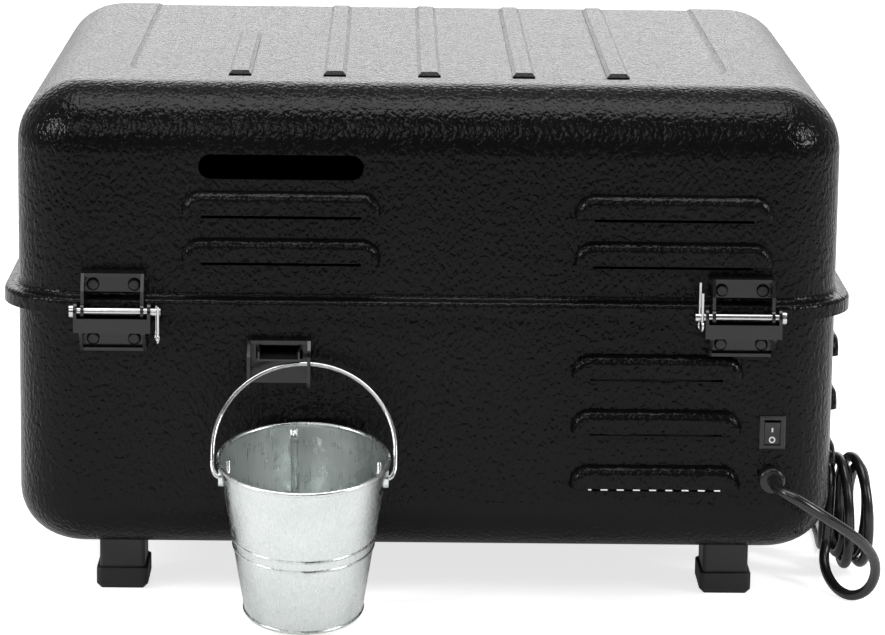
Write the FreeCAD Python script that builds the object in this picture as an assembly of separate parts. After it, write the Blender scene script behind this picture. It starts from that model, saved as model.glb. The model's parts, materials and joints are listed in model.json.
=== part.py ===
import FreeCAD, Part
import math
import os

from FreeCAD import Rotation, Vector

# Portable pellet grill, in millimetres. Z is up, X runs along the rear wall and the rear wall
# faces -Y. The origin is on the floor, under the middle of the whole grill without its cord.
# The body is two drawn steel shells. The cooking chamber is at -X, the hopper and the controls
# are at +X, and the grease bucket hangs behind the chamber.

# Driving dimensions

# Drawn shells
rim_width = 533.0
rim_height = 10.0
rim_overhang = 9.0
body_depth = 455.0
wall_corner_radius = 44.0
sheet = 1.5
lid_top_z = 330.7
lid_edge_radius = 40.0
lid_flange_rise = 8.1
lid_flange_fillet = 3.0
base_bottom_z = 36.5
base_edge_radius = 34.0
base_flange_top_z = 192.5
base_flange_width = 5.0

# Lid top panel and ribs
panel_width = 382.0
panel_margin = 58.0
panel_corner_radius = 48.0
panel_recess = 2.5
panel_slope = 2.0
rib_count = 5
rib_pitch = 60.0
rib_width = 14.3
rib_height = 3.0
rib_slope = 2.2
rib_near_margin = 79.0
rib_far_margin = 40.0
short_rib_length = 197.0
rib_groove_inset = 2.2

# Louvres
hood_height = 14.0
hood_depth = 7.0
hood_corner_radius = 12.0
hood_edge_radius = 5.5
hood_slit = 3.0
lid_louvre_width = 123.0
lid_louvre_from_left = 166.0
lid_louvre_from_right = 105.8
lid_louvre_rise = (23.2, 52.6)
base_louvre_width = 107.0
base_louvre_from_right = 114.2
base_louvre_z = (81.8, 117.5, 152.6)
side_louvre_y = 118.0

# Exhaust slot
exhaust_from_left = 165.9
exhaust_rise = 81.9
exhaust_width = 102.0
exhaust_height = 15.6

# Floor vents
vent_count = 11
vent_pitch = 10.9
vent_width = 5.0
vent_length = 42.0
vent_from_right = 114.2
vent_from_rear = 178.0

# Lid hinges
hinge_from_side = 62.7
hinge_pin_rise = 1.5
hinge_pin_out = 15.5
hinge_pin_radius = 2.5
hinge_bore_clearance = 0.08
hinge_plate = 2.0
lid_bracket_width = 38.8
lid_bracket_rise = 16.6
base_bracket_width = 47.4
base_bracket_foot_width = 41.0
base_bracket_drop = 26.5
lid_ear_boss_radius = 5.0
lid_ear_out = 1.8
lid_ear_shoulder = 13.0
lid_web_in = 3.5
lid_ear_drop = 2.5
ear_rim_gap = 0.6
base_ear_boss_radius = 5.9
hinge_bar_height = 8.8
hinge_bar_drop = 3.7
base_ear_drop = 2.0
foot_flange = 7.0
foot_edge_in = 2.0
foot_edge_drop = 1.0
skirt_gap = 1.0
pin_head_radius = 4.2
pin_head_thickness = 2.4
pin_tail = 6.0
clip_from_bracket = 3.3
clip_wire_radius = 0.9
clip_leg_gap = 4.2
clip_yaw_deg = 18.0
clip_eye_radius = 3.2
clip_left_eye_drop = 16.0
clip_left_tail = 4.0
clip_right_eye_drop = 4.9
clip_right_tail = 22.0
clip_right_outer_tail = 16.0
hinge_screw_spread = 12.8
lid_screw_rise = 5.0
base_screw_rise = 7.0

# Screws
screw_head_radius = 4.0
screw_head_height = 2.2
screw_crown_radius = 1.5
screw_shank_radius = 2.0
screw_clearance = 0.1
screw_shank_length = 6.0

# Lid gasket
gasket_width = 4.4
gasket_gap = 0.3

# Feet
foot_from_side = 63.9
foot_from_wall = 44.0
boot_width = 33.0
boot_depth = 43.0
boot_height = 14.0
boot_corner_radius = 4.0
boot_chamfer = 3.0
boot_edge_radius = 1.0
leg_width = 29.0
leg_depth = 38.0
leg_wall = 2.0
leg_corner_radius = 3.0
leg_sink = 10.0
leg_fit = 0.1

# Chamber layout
partition_from_right = 179.5
partition_below_seam = 6.5
fit_gap = 0.3
auger_from_centre = -45.0
auger_z = 84.0
pot_from_partition = 170.0

# Rails, grate and drip tray
rail_width = 12.0
rail_below_seam = 8.5
rail_end_gap = 52.0
rail_web_drop = 4.0
grate_end_gap = 46.0
grate_side_gap = 6.0
grate_rod_radius = 2.0
grate_frame_radius = 2.8
grate_rod_pitch = 15.0
grate_brace_sink = 0.4
grate_rod_rise = 0.6
tray_below_seam = 26.9
tray_slope_deg = 1.1
tray_lip = 6.5
tray_rear_gap = 10.0
tray_sheet = 1.2
spout_width = 26.0
spout_height = 4.6
spout_reach = 17.5
drain_side_gap = 1.5
drain_low_gap = 3.2
drain_top_gap = 4.0

# Heat baffle
baffle_width = 215.0
baffle_depth = 250.0
baffle_z = 124.0
baffle_lip = 12.0
baffle_leg_width = 20.0

# Fire pot and igniter
pot_radius = 42.0
pot_top_z = 108.0
pot_floor_z = 58.0
pot_wall = 1.6
pot_hole_radius = 2.2
pot_hole_count = 16
pot_hole_drop = 7.0
igniter_radius = 5.0
igniter_z = 66.0
igniter_offset = 31.0
igniter_tip = 12.0
igniter_stub = 16.0
igniter_collar = 6.0
igniter_collar_rise = 3.0

# Auger and its drive
auger_tube_radius = 19.0
auger_tube_wall = 1.5
auger_shaft_radius = 5.0
flight_radius = 16.4
flight_thickness = 1.8
flight_pitch = 32.0
auger_motor_from_partition = 118.0
motor_width = 56.0
motor_height = 62.0
motor_length = 46.0
gearbox_length = 25.3
gearbox_corner_radius = 4.0
motor_can_radius = 20.0
motor_can_drop = 6.0
motor_socket = 14.0
auger_stub = 12.0
auger_end_gap = 6.0
tube_end_in = 2.0
inlet_margin = 2.0
inlet_rise = 5.0
flight_root_sink = 1.0
tube_flange_radius = 24.0
tube_flange_thickness = 2.5
running_clearance = 0.06

# Hopper
hopper_from_rear = 46.0
hopper_length = 188.0
hopper_from_partition = 22.0
hopper_width = 112.0
hopper_rim_below_seam = 8.5
hopper_mouth_z = 104.0
hopper_mouth_width = 72.0
hopper_mouth_length = 27.0
hopper_mouth_from_partition = 72.0
hopper_neck_rise = 9.0
hopper_sheet = 1.2
guard_z = 138.0
guard_thickness = 2.0
guard_slot_count = 7
guard_margin = 8.0
guard_slot_share = 0.3
deck_thickness = 1.5
deck_ledge = 7.0
hopper_lid_thickness = 1.5
hopper_grip_width = 8.0
hopper_grip_length = 40.0
hopper_grip_height = 7.0
hopper_lid_lap = 3.0
barrel_radius = 3.2
hopper_pin_radius = 1.6
barrel_gap = 1.0
barrel_rise = 0.2
hopper_lid_overlap = 1.0
knuckle_count = 5

# Control panel
panel_from_front = 24.0
controller_width = 132.0
controller_length = 92.0
controller_depth = 38.0
controller_from_right = 91.5
bezel_height = 3.0
bezel_corner_radius = 8.0
bezel_edge_radius = 1.5
bezel_lap = 4.0
display_width = 54.0
display_length = 24.0
display_left_of_middle = 24.0
display_past_middle = 14.0
window_depth = 2.0
window_sink = 0.2
knob_radius = 17.0
knob_height = 15.0
knob_from_side = 26.0
knob_before_middle = 12.0
knob_skirt_height = 4.0
knob_skirt_width = 3.0
knob_edge_radius = 1.5
knob_groove_count = 24
knob_groove_radius = 1.0
knob_groove_out = 0.4
pointer_width = 1.6
pointer_start = 3.0
pointer_margin = 5.0
pointer_sink = 1.0
pointer_rise = 0.6
knob_stem_depth = 8.0
knob_stem_gap = 1.0
knob_stem_radius = 3.0
button_radius = 5.0
button_travel = 1.5
button_gap = 0.3
button_spread = 14.0
button_before_middle = 22.0
button_well = 5.0
button_rise = 2.2
button_edge_radius = 0.8
jack_radius = 4.0
jack_past_middle = 28.0
jack_depth = 8.0
jack_proud = 1.0
jack_collar_height = 1.2
jack_collar_width = 2.0
jack_bore_radius = 1.8
jack_bore_depth = 6.0

# Temperature probe
probe_from_rear = 70.0
probe_below_seam = 14.5
probe_radius = 2.5
probe_length = 34.0
probe_stub = 10.0
probe_collar = 4.0
probe_collar_rise = 2.5

# Blower
blower_from_auger = 72.5
blower_z = 82.0
blower_radius = 36.0
blower_length = 24.0
blower_wall = 1.5
rotor_radius = 28.0
rotor_length = 16.0
blade_count = 18
blower_motor_radius = 17.0
blower_motor_length = 22.0
blower_shaft_radius = 2.0
duct_width = 24.0
intake_radius = 20.0
blower_arm_count = 3
blower_arm_radius = 2.5
blower_arm_length = 6.0
blower_arm_in = 4.0
blower_plate = 2.0
blower_plate_hole = 4.0
blower_socket = 15.0
blower_shaft_stub = 20.0
rotor_disc = 1.5
rotor_ring_width = 7.0
rotor_hub_radius = 6.0
rotor_hub_length = 9.0
blade_sheet = 1.0
blade_depth = 5.7
blade_rim = 0.8
blade_turn_deg = 30.0

# Drain bracket and bucket
drain_from_left = 165.4
drain_width = 39.2
drain_rise = 9.4
drain_drop = 18.6
drain_reach = 19.5
drain_plate = 2.0
hook_floor_gap = 0.3
bail_from_drain = 16.6
bail_hook_out = 15.0
bail_hook_drop = 3.6
bail_wire_radius = 1.5
bail_radius = 56.0
bail_lean_radius = 14.0
bail_lean_deg = 30.0
bail_foot_radius = 3.2
bail_curl_in = 2.8
bail_curl_radius = 3.2
bail_curl_tail = 6.5
bucket_rim_out = 58.2
bucket_rim_drop = 49.2
bucket_tilt_deg = 11.0
bucket_rim_radius = 51.8
bucket_base_radius = 36.5
bucket_height = 102.4
bucket_wall = 0.9
bucket_bead_radius = 1.5
bucket_band_radius = 1.1
bucket_bands = (46.0, 53.0)
bucket_pivot_drop = 13.0
bucket_floor_lift = 4.0
bucket_ear_radius = 6.0
bucket_ear_thickness = 1.2
bail_fit = 0.08
drain_shade_depth = 8.0
drain_shade_drop = 2.0
hook_rise = 6.0
hook_slope = 1.0
drain_corner_cut = 3.0
bucket_foot_lift = 0.6

# Switch and cord entry
switch_from_right = 41.2
switch_z = 117.8
bezel_width = 16.4
bezel_rise = 21.2
bezel_out = 1.8
switch_body_width = 13.0
switch_body_height = 18.6
switch_body_depth = 20.0
rocker_width = 9.6
rocker_height = 15.0
rocker_swing_deg = 14.0
rocker_gap = 0.35
rocker_pivot_depth = 2.4
rocker_rise = 4.0
rocker_valley = 1.2
rocker_depth = 3.6
rocker_axle_radius = 1.2
rocker_axle_reach = 1.2
gland_from_right = 40.9
gland_z = 87.7
gland_radius = 8.3
gland_out = 7.0
gland_neck_radius = 6.3
gland_inside = 6.0
gland_edge_radius = 2.5
gland_nut = 3.0
cord_radius = 3.3

# Cord: route points are distance out from the right wall, distance in from the rear wall, and Z
cord_lead_route = (
    (-40.9, -7.0, 87.7), (-40.3, -17.0, 87.4), (-35.2, -27.0, 85.6), (-26.5, -31.5, 81.7),
    (-11.7, -29.5, 72.1), (3.8, -22.0, 61.2), (17.2, -10.0, 49.1), (26.2, 3.0, 36.2),
    (28.9, 13.5, 22.2), (25.3, 22.0, 9.5), (16.7, 28.5, 3.4), (8.9, 39.0, 3.9),
    (4.6, 52.0, 7.3), (2.5, 63.5, 11.5), (2.1, 71.8, 18.0),
)
cord_tail_route = (
    (8.5, 136.5, 12.0), (9.3, 147.5, 4.4), (10.1, 165.0, 3.5),
    (11.3, 184.0, 3.6), (10.9, 203.0, 4.4), (11.5, 220.0, 10.4),
)
hank_turns = 4.5
hank_out = 5.0
hank_from_rear = 100.0
hank_z = 42.0
hank_half_width = 23.2
hank_half_height = 29.0
hank_growth = 8.2
hank_height_growth = 7.6
hank_pitch = 7.7
hank_yaw_deg = 5.0
hank_middle_turn = 2.5
hank_ease = 0.25
hank_end_run = 6.6
cord_join_run = 9.5
plug_out = 11.5
plug_from_rear = 236.0
plug_width = 26.0
plug_height = 25.0
plug_body_length = 20.0
plug_neck_length = 12.0
plug_neck_radius = 8.0
plug_relief_length = 18.0
plug_relief_radius = 5.2
plug_relief_tip_radius = 4.4
plug_corner_radius = 7.0
relief_groove = 1.6
relief_groove_pitch = 3.6
relief_rib = 4.4
blade_width = 6.35
blade_thickness = 1.5
blade_spacing = 12.7
blade_length = 16.5
blade_sink = 6.0
earth_pin_radius = 2.4
earth_pin_length = 20.5
earth_pin_offset = 11.9

# Front latches
latch_from_side = 107.5
latch_pivot_out = 13.0
latch_below_seam = 24.5
latch_width = 24.0
latch_plate = 2.0
latch_pin_radius = 2.0
latch_ear_gap = 0.4
latch_strap_in = 1.6
latch_hook_in = 6.0
latch_tab_out = 8.8
latch_tab_rise = 4.0
latch_open_deg = 180.0
keeper_width = 20.0
keeper_out = 10.0
keeper_rise = 14.0
keeper_screw_rise = 12.5

# Share of a run that an arc of the cord may take
arc_share = 0.45

# Derived places

body_width = rim_width - 2 * rim_overhang
bucket_tilt = math.radians(bucket_tilt_deg)
rear_overhang = bucket_rim_out + (bucket_rim_radius + bucket_bead_radius) * math.cos(bucket_tilt)
rear_overhang += bucket_bead_radius * (1 - math.cos(bucket_tilt))
latch_boss_radius = latch_pin_radius + 2.5
front_overhang = latch_pivot_out + latch_hook_in
body_centre_y = (rear_overhang - front_overhang) / 2
rear_y = body_centre_y - body_depth / 2
front_y = body_centre_y + body_depth / 2
half_width = body_width / 2
seam_z = base_flange_top_z
lid_flange_top_z = seam_z + lid_flange_rise
lid_skirt_z = lid_flange_top_z - rim_height
auger_y = body_centre_y + auger_from_centre
floor_z = base_bottom_z + sheet
inner_rear_y = rear_y + sheet
inner_front_y = front_y - sheet
base_wall_inner_x = half_width - sheet
partition_x = half_width - partition_from_right
partition_top_z = seam_z - partition_below_seam
lid_louvre_x = (lid_louvre_from_left - half_width, half_width - lid_louvre_from_right)
lid_louvre_z = [lid_flange_top_z + rise for rise in lid_louvre_rise]
base_louvre_x = half_width - base_louvre_from_right
exhaust_x = exhaust_from_left - half_width
exhaust_z = lid_flange_top_z + exhaust_rise
vent_x = half_width - vent_from_right
hinge_x = half_width - hinge_from_side
hinge_pin_y = rear_y - hinge_pin_out
hinge_pin_z = seam_z + hinge_pin_rise
lid_bracket_top_z = lid_flange_top_z + lid_bracket_rise
base_bracket_bottom_z = hinge_pin_z - base_bracket_drop
foot_x = half_width - foot_from_side
latch_x = half_width - latch_from_side
latch_pivot_z = seam_z - latch_below_seam
pot_x = partition_x - pot_from_partition
rail_top_z = seam_z - rail_below_seam
tray_floor_z = seam_z - tray_below_seam
auger_motor_x = partition_x + auger_motor_from_partition
hopper_left_x = partition_x + hopper_from_partition
hopper_mouth_x = partition_x + hopper_mouth_from_partition
hopper_rim_z = seam_z - hopper_rim_below_seam
controller_x = half_width - controller_from_right
probe_z = seam_z - probe_below_seam
drain_x = drain_from_left - half_width
drain_top_z = tray_floor_z + drain_rise
drain_bottom_z = tray_floor_z - drain_drop
bail_x = drain_x + bail_from_drain
bail_hook_z = tray_floor_z - bail_hook_drop
bucket_rim_z = bail_hook_z - bucket_rim_drop
switch_x = half_width - switch_from_right
gland_x = half_width - gland_from_right
hank_x = half_width + hank_out
plug_x = half_width + plug_out
keeper_top_z = lid_flange_top_z + latch_plate + 2 * fit_gap


# Basic shapes


def box(x0, x1, y0, y1, z0, z1):
    return Part.makeBox(x1 - x0, y1 - y0, z1 - z0, Vector(x0, y0, z0))


def rod(start, end, radius):
    """Round bar from one point to another."""
    axis = end.sub(start)
    return Part.makeCylinder(radius, axis.Length, start, axis)


def x_rod(x0, x1, y, z, radius):
    return rod(Vector(min(x0, x1), y, z), Vector(max(x0, x1), y, z), radius)


def y_rod(y0, y1, x, z, radius):
    return rod(Vector(x, min(y0, y1), z), Vector(x, max(y0, y1), z), radius)


def z_rod(z0, z1, x, y, radius):
    return rod(Vector(x, y, min(z0, z1)), Vector(x, y, max(z0, z1)), radius)


def tube(outer, inner):
    return outer.cut(inner)


def fused(shapes):
    whole = shapes[0].multiFuse(shapes[1:])
    return whole.removeSplitter()


def polygon_prism(points, direction):
    """Prism from a closed list of points, pushed along a direction."""
    wire = Part.makePolygon(points + [points[0]])
    return Part.Face(wire).extrude(direction)


def side_plate(outline, x0, x1):
    """Plate cut to an outline of (y, z) points, between two X positions."""
    points = [Vector(x0, y, z) for y, z in outline]
    return polygon_prism(points, Vector(x1 - x0, 0, 0))


def quarter_arc(x, y, z, radius, start_deg):
    spots = []
    for step in (0, 45, 90):
        angle = math.radians(start_deg + step)
        spots.append(Vector(x + radius * math.cos(angle), y + radius * math.sin(angle), z))
    return Part.Arc(*spots).toShape()


def rounded_block(width, depth, radius, z0, z1, x=0.0, y=None):
    """Upright block with rounded vertical edges."""
    if y is None:
        y = body_centre_y
    near_x = width / 2 - radius
    near_y = depth / 2 - radius
    half_x = width / 2
    half_y = depth / 2
    edges = [
        quarter_arc(x + near_x, y + near_y, z0, radius, 0),
        Part.makeLine(Vector(x + near_x, y + half_y, z0), Vector(x - near_x, y + half_y, z0)),
        quarter_arc(x - near_x, y + near_y, z0, radius, 90),
        Part.makeLine(Vector(x - half_x, y + near_y, z0), Vector(x - half_x, y - near_y, z0)),
        quarter_arc(x - near_x, y - near_y, z0, radius, 180),
        Part.makeLine(Vector(x - near_x, y - half_y, z0), Vector(x + near_x, y - half_y, z0)),
        quarter_arc(x + near_x, y - near_y, z0, radius, 270),
        Part.makeLine(Vector(x + half_x, y - near_y, z0), Vector(x + half_x, y + near_y, z0)),
    ]
    return Part.Face(Part.Wire(edges)).extrude(Vector(0, 0, z1 - z0))


def body_block(inset, z0, z1):
    """Block with the body's plan, drawn in by an inset or spread by a negative one."""
    return rounded_block(
        body_width - 2 * inset, body_depth - 2 * inset, wall_corner_radius - inset, z0, z1
    )


def level_edges(shape, z):
    """Edges that lie flat at one height."""
    close = 0.01
    return [
        edge for edge in shape.Edges
        if abs(edge.BoundBox.ZMin - z) < close and abs(edge.BoundBox.ZMax - z) < close
    ]


def turned(shape, centre, axis, angle_deg):
    copy = shape.copy()
    copy.rotate(centre, axis, angle_deg)
    return copy


def moved(shape, x, y, z):
    copy = shape.copy()
    copy.translate(Vector(x, y, z))
    return copy


def save(node, shapes):
    """Write one node, as a solid or as a group of separate solids."""
    if isinstance(shapes, list):
        solids = [solid for shape in shapes for solid in shape.Solids]
        shape = Part.makeCompound(solids)
    else:
        solids = shapes.Solids
        shape = solids[0] if len(solids) == 1 else shapes
    shape.exportStep("parts/" + node + ".step")
    print(node, len(solids), "solids", round(sum(s.Volume for s in solids)), "mm3")


# Drawn shells


def hood(width, height, depth, corner, edge):
    """Pressed louvre hood with its flat lip at z 0, standing out of the wall towards -Y."""
    half = width / 2
    bend = corner * (1 - math.sqrt(0.5))
    outline = [
        Part.makeLine(Vector(-half, 0, 0), Vector(-half, 0, height - corner)),
        Part.Arc(
            Vector(-half, 0, height - corner),
            Vector(-half + bend, 0, height - bend),
            Vector(-half + corner, 0, height),
        ).toShape(),
        Part.makeLine(Vector(-half + corner, 0, height), Vector(half - corner, 0, height)),
        Part.Arc(
            Vector(half - corner, 0, height),
            Vector(half - bend, 0, height - bend),
            Vector(half, 0, height - corner),
        ).toShape(),
        Part.makeLine(Vector(half, 0, height - corner), Vector(half, 0, 0)),
        Part.makeLine(Vector(half, 0, 0), Vector(-half, 0, 0)),
    ]
    solid = Part.Face(Part.Wire(outline)).extrude(Vector(0, -depth, 0))
    rounded = [
        each for each in solid.Edges
        if each.BoundBox.YMax < -depth + 0.01 and each.BoundBox.ZMax > 0.01
    ]
    return solid.makeFillet(edge, rounded)


def louvre_tools(width):
    """The outside of a louvre, and what is cut away under it and through the wall."""
    outside = hood(width, hood_height, hood_depth, hood_corner_radius, hood_edge_radius)
    hollow = hood(
        width - 2 * sheet,
        hood_height - sheet,
        hood_depth - sheet,
        hood_corner_radius - sheet,
        hood_edge_radius - sheet,
    )
    opening = box(
        -width / 2 + hood_corner_radius,
        width / 2 - hood_corner_radius,
        -sheet,
        2 * sheet,
        -hood_slit,
        hood_height - 2 * sheet,
    )
    return outside, hollow.fuse(opening)


def add_louvre(shell, width, x, y, z, turn_deg):
    outside, hollow = louvre_tools(width)
    placed = []
    for tool in (outside, hollow):
        tool = turned(tool, Vector(0, 0, 0), Vector(0, 0, 1), turn_deg)
        placed.append(moved(tool, x, y, z))
    return shell.fuse(placed[0]).cut(placed[1])


def screw_holes(shell, places, depth):
    """Clearance holes through a wall that faces along Y."""
    for x, y, z in places:
        hole = y_rod(y - depth, y + depth, x, z, screw_shank_radius + screw_clearance)
        shell = shell.cut(hole)
    return shell


def rib_places():
    """Middle X, start Y and length of each rib on the lid's top."""
    start = rear_y + rib_near_margin
    full = body_depth - rib_near_margin - rib_far_margin
    places = []
    for index in range(rib_count):
        x = (index - (rib_count - 1) / 2) * rib_pitch
        length = short_rib_length if index == 0 else full
        places.append((x, start, length))
    return places


def lid_shell():
    flange = body_block(-rim_overhang, lid_skirt_z, lid_flange_top_z)
    wall = body_block(0, lid_skirt_z, lid_top_z)
    wall = wall.makeFillet(lid_edge_radius, level_edges(wall, lid_top_z))
    outside = flange.fuse(wall).removeSplitter()
    outside = outside.makeFillet(lid_flange_fillet, level_edges(outside, lid_flange_top_z))

    floor = lid_top_z - panel_recess
    panel_depth = body_depth - panel_margin + panel_corner_radius
    panel_y = rear_y + panel_margin + panel_depth / 2
    pocket = rounded_block(
        panel_width,
        panel_depth,
        panel_corner_radius,
        floor,
        lid_top_z + panel_recess,
        0,
        panel_y,
    )
    pocket = pocket.makeChamfer(panel_slope, level_edges(pocket, floor))
    outside = outside.cut(pocket)

    hollow = body_block(sheet, 0, lid_top_z - sheet)
    hollow = hollow.makeFillet(lid_edge_radius - sheet, level_edges(hollow, lid_top_z - sheet))
    ceiling = rounded_block(
        panel_width + 2 * sheet,
        panel_depth + 2 * sheet,
        panel_corner_radius + sheet,
        floor - sheet,
        lid_top_z,
        0,
        panel_y,
    )
    hollow = hollow.cut(ceiling)

    for x, start, length in rib_places():
        half = rib_width / 2
        rib = box(x - half, x + half, start, start + length, floor - sheet / 2, floor + rib_height)
        rib = rib.makeChamfer(rib_slope, level_edges(rib, floor + rib_height))
        outside = outside.fuse(rib)
        inset = rib_groove_inset
        groove = box(
            x - half + inset,
            x + half - inset,
            start + inset,
            start + length - inset,
            floor - 2 * sheet,
            floor + rib_height - sheet - rib_slope / 4,
        )
        hollow = hollow.fuse(groove)

    skirt_hollow = body_block(sheet - rim_overhang, 0, lid_flange_top_z - sheet)
    shell = outside.cut(hollow).cut(skirt_hollow)

    half = (exhaust_width - exhaust_height) / 2
    end = exhaust_height / 2
    slot = fused([
        box(exhaust_x - half, exhaust_x + half, rear_y - sheet, rear_y + 2 * sheet,
            exhaust_z - end, exhaust_z + end),
        y_rod(rear_y - sheet, rear_y + 2 * sheet, exhaust_x - half, exhaust_z, end),
        y_rod(rear_y - sheet, rear_y + 2 * sheet, exhaust_x + half, exhaust_z, end),
    ])
    shell = shell.cut(slot)
    for x in lid_louvre_x:
        for z in lid_louvre_z:
            shell = add_louvre(shell, lid_louvre_width, x, rear_y, z, 0)
    return screw_holes(shell, lid_screw_places() + keeper_screw_places(), 2 * sheet)


def base_cavity(inset):
    """The space inside the base shell, drawn in by an inset."""
    drawn = sheet + inset
    space = body_block(drawn, base_bottom_z + drawn, base_flange_top_z)
    return space.makeFillet(
        base_edge_radius - drawn, level_edges(space, base_bottom_z + drawn)
    )


def base_shell():
    outside = body_block(0, base_bottom_z, base_flange_top_z)
    outside = outside.makeFillet(base_edge_radius, level_edges(outside, base_bottom_z))
    flange = body_block(-base_flange_width, base_flange_top_z - sheet, base_flange_top_z)
    shell = outside.fuse(flange).cut(base_cavity(0))
    for z in base_louvre_z:
        shell = add_louvre(shell, base_louvre_width, base_louvre_x, rear_y, z, 0)
        shell = add_louvre(
            shell, base_louvre_width, half_width, rear_y + side_louvre_y, z, 90
        )
    for index in range(vent_count):
        x = vent_x + (index - (vent_count - 1) / 2) * vent_pitch
        y = rear_y + vent_from_rear
        slot = box(
            x - vent_width / 2, x + vent_width / 2,
            y - vent_length / 2, y + vent_length / 2,
            base_bottom_z - sheet, floor_z + sheet,
        )
        shell = shell.cut(slot)
    shell = shell.cut(drain_opening(rear_y - sheet, rear_y + 2 * sheet))
    switch_hole = box(
        switch_x - switch_body_width / 2 - fit_gap, switch_x + switch_body_width / 2 + fit_gap,
        rear_y - sheet, rear_y + 2 * sheet,
        switch_z - switch_body_height / 2 - fit_gap, switch_z + switch_body_height / 2 + fit_gap,
    )
    shell = shell.cut(switch_hole)
    gland_hole = y_rod(
        rear_y - sheet, rear_y + 2 * sheet, gland_x, gland_z, gland_neck_radius + fit_gap / 3
    )
    shell = shell.cut(gland_hole)
    shell = screw_holes(shell, base_screw_places() + latch_screw_places(), 2 * sheet)
    for x, y in leg_places():
        hole = z_rod(
            base_bottom_z - sheet, floor_z + sheet, x, y, screw_shank_radius + screw_clearance
        )
        shell = shell.cut(hole)
    return shell


def lid_gasket():
    """Sealing strip under the lid's flange, just clear of the base's flange."""
    z0 = base_flange_top_z + gasket_gap
    z1 = lid_flange_top_z - sheet
    outside = body_block(-gasket_gap - gasket_width, z0, z1)
    return tube(outside, body_block(-gasket_gap, z0, z1))


# Lid hinges


def lid_screw_places():
    z = lid_flange_top_z + lid_flange_fillet + lid_screw_rise
    places = []
    for side in (-1, 1):
        for offset in (-hinge_screw_spread, hinge_screw_spread):
            places.append((side * hinge_x + offset, rear_y, z))
    return places


def base_screw_places():
    z = base_bracket_bottom_z + base_screw_rise
    places = []
    for side in (-1, 1):
        for offset in (-hinge_screw_spread, hinge_screw_spread):
            places.append((side * hinge_x + offset, rear_y, z))
    return places


def wall_screw(x, y, z, plate, outward):
    """Button-head screw through a plate on a wall; outward is -1 at the rear and 1 at the front."""
    seat = y + outward * plate
    head = y_rod(seat, seat + outward * screw_head_height, x, z, screw_head_radius)
    crown = [
        edge for edge in head.Edges
        if abs(edge.BoundBox.YMin - (seat + outward * screw_head_height)) < 0.01
        and abs(edge.BoundBox.YMax - (seat + outward * screw_head_height)) < 0.01
    ]
    head = head.makeFillet(screw_crown_radius, crown)
    shank = y_rod(seat, seat - outward * screw_shank_length, x, z, screw_shank_radius)
    return head.fuse(shank)


def lid_bracket(x):
    """Inverted channel on the lid: a wall plate, a top web and two ears down to the pin."""
    out = hinge_pin_y
    up = hinge_pin_z
    root_z = lid_flange_top_z + lid_flange_fillet + fit_gap
    half = lid_bracket_width / 2
    ear_outline = [
        (out - lid_ear_boss_radius, up),
        (out - lid_ear_out, up + lid_ear_boss_radius),
        (out - lid_ear_out, up + lid_ear_shoulder),
        (out + lid_web_in, lid_bracket_top_z),
        (rear_y, lid_bracket_top_z),
        (rear_y, root_z),
        (rear_y - rim_overhang - fit_gap, lid_flange_top_z + fit_gap),
        (rear_y - rim_overhang - ear_rim_gap, up - lid_ear_drop),
        (out, up),
    ]
    pieces = [
        box(x - half, x + half, rear_y - hinge_plate, rear_y, root_z, lid_bracket_top_z),
        box(x - half, x + half, out + lid_web_in, rear_y,
            lid_bracket_top_z - hinge_plate, lid_bracket_top_z),
    ]
    for x0 in (x - half, x + half - hinge_plate):
        ear = side_plate(ear_outline, x0, x0 + hinge_plate)
        boss = x_rod(x0, x0 + hinge_plate, out, up, lid_ear_boss_radius)
        pieces += [ear, boss]
    bracket = fused(pieces)
    bore = x_rod(x - half - 1, x + half + 1, out, up, hinge_pin_radius + hinge_bore_clearance)
    bracket = bracket.cut(bore)
    return screw_holes(bracket, lid_screw_places(), 2 * hinge_plate)


def base_bracket(x):
    """Folded bracket on the base: two ears outside the lid's, a bridging bar and a screw foot."""
    out = hinge_pin_y
    up = hinge_pin_z
    half = base_bracket_width / 2
    foot = base_bracket_foot_width / 2
    clear_z = lid_skirt_z - skirt_gap
    bar_y = out - base_ear_boss_radius
    bar_top = up - hinge_bar_drop
    bar_bottom = bar_top - hinge_bar_height
    ear_outline = [
        (out - base_ear_boss_radius, up),
        (out - base_ear_boss_radius, bar_bottom),
        (rear_y, bar_bottom),
        (rear_y, clear_z),
        (rear_y - rim_overhang - ear_rim_gap, clear_z),
        (rear_y - rim_overhang - ear_rim_gap, up - base_ear_drop),
        (out, up),
    ]
    foot_outline = [
        (bar_y, bar_bottom + hinge_plate),
        (bar_y + foot_edge_in, bar_bottom - foot_edge_drop),
        (rear_y - foot_flange, base_bracket_bottom_z),
        (rear_y, base_bracket_bottom_z),
        (rear_y, bar_bottom + hinge_plate),
    ]
    pieces = [
        box(x - half, x + half, bar_y, bar_y + hinge_plate, bar_bottom, bar_top),
        box(x - half, x + half, bar_y, rear_y, bar_bottom, bar_bottom + hinge_plate),
        box(x - foot, x + foot, rear_y - hinge_plate, rear_y, base_bracket_bottom_z, clear_z),
        box(x - foot, x + foot, rear_y - foot_flange, rear_y,
            base_bracket_bottom_z, base_bracket_bottom_z + hinge_plate),
    ]
    for x0 in (x - half, x + half - hinge_plate):
        ear = side_plate(ear_outline, x0, x0 + hinge_plate)
        boss = x_rod(x0, x0 + hinge_plate, out, up, base_ear_boss_radius)
        pieces += [ear, boss]
    for x0 in (x - foot, x + foot - hinge_plate):
        pieces.append(side_plate(foot_outline, x0, x0 + hinge_plate))
    bracket = fused(pieces)
    bore = x_rod(x - half - 1, x + half + 1, out, up, hinge_pin_radius + hinge_bore_clearance)
    bracket = bracket.cut(bore)
    return screw_holes(bracket, base_screw_places(), 2 * hinge_plate)


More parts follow.
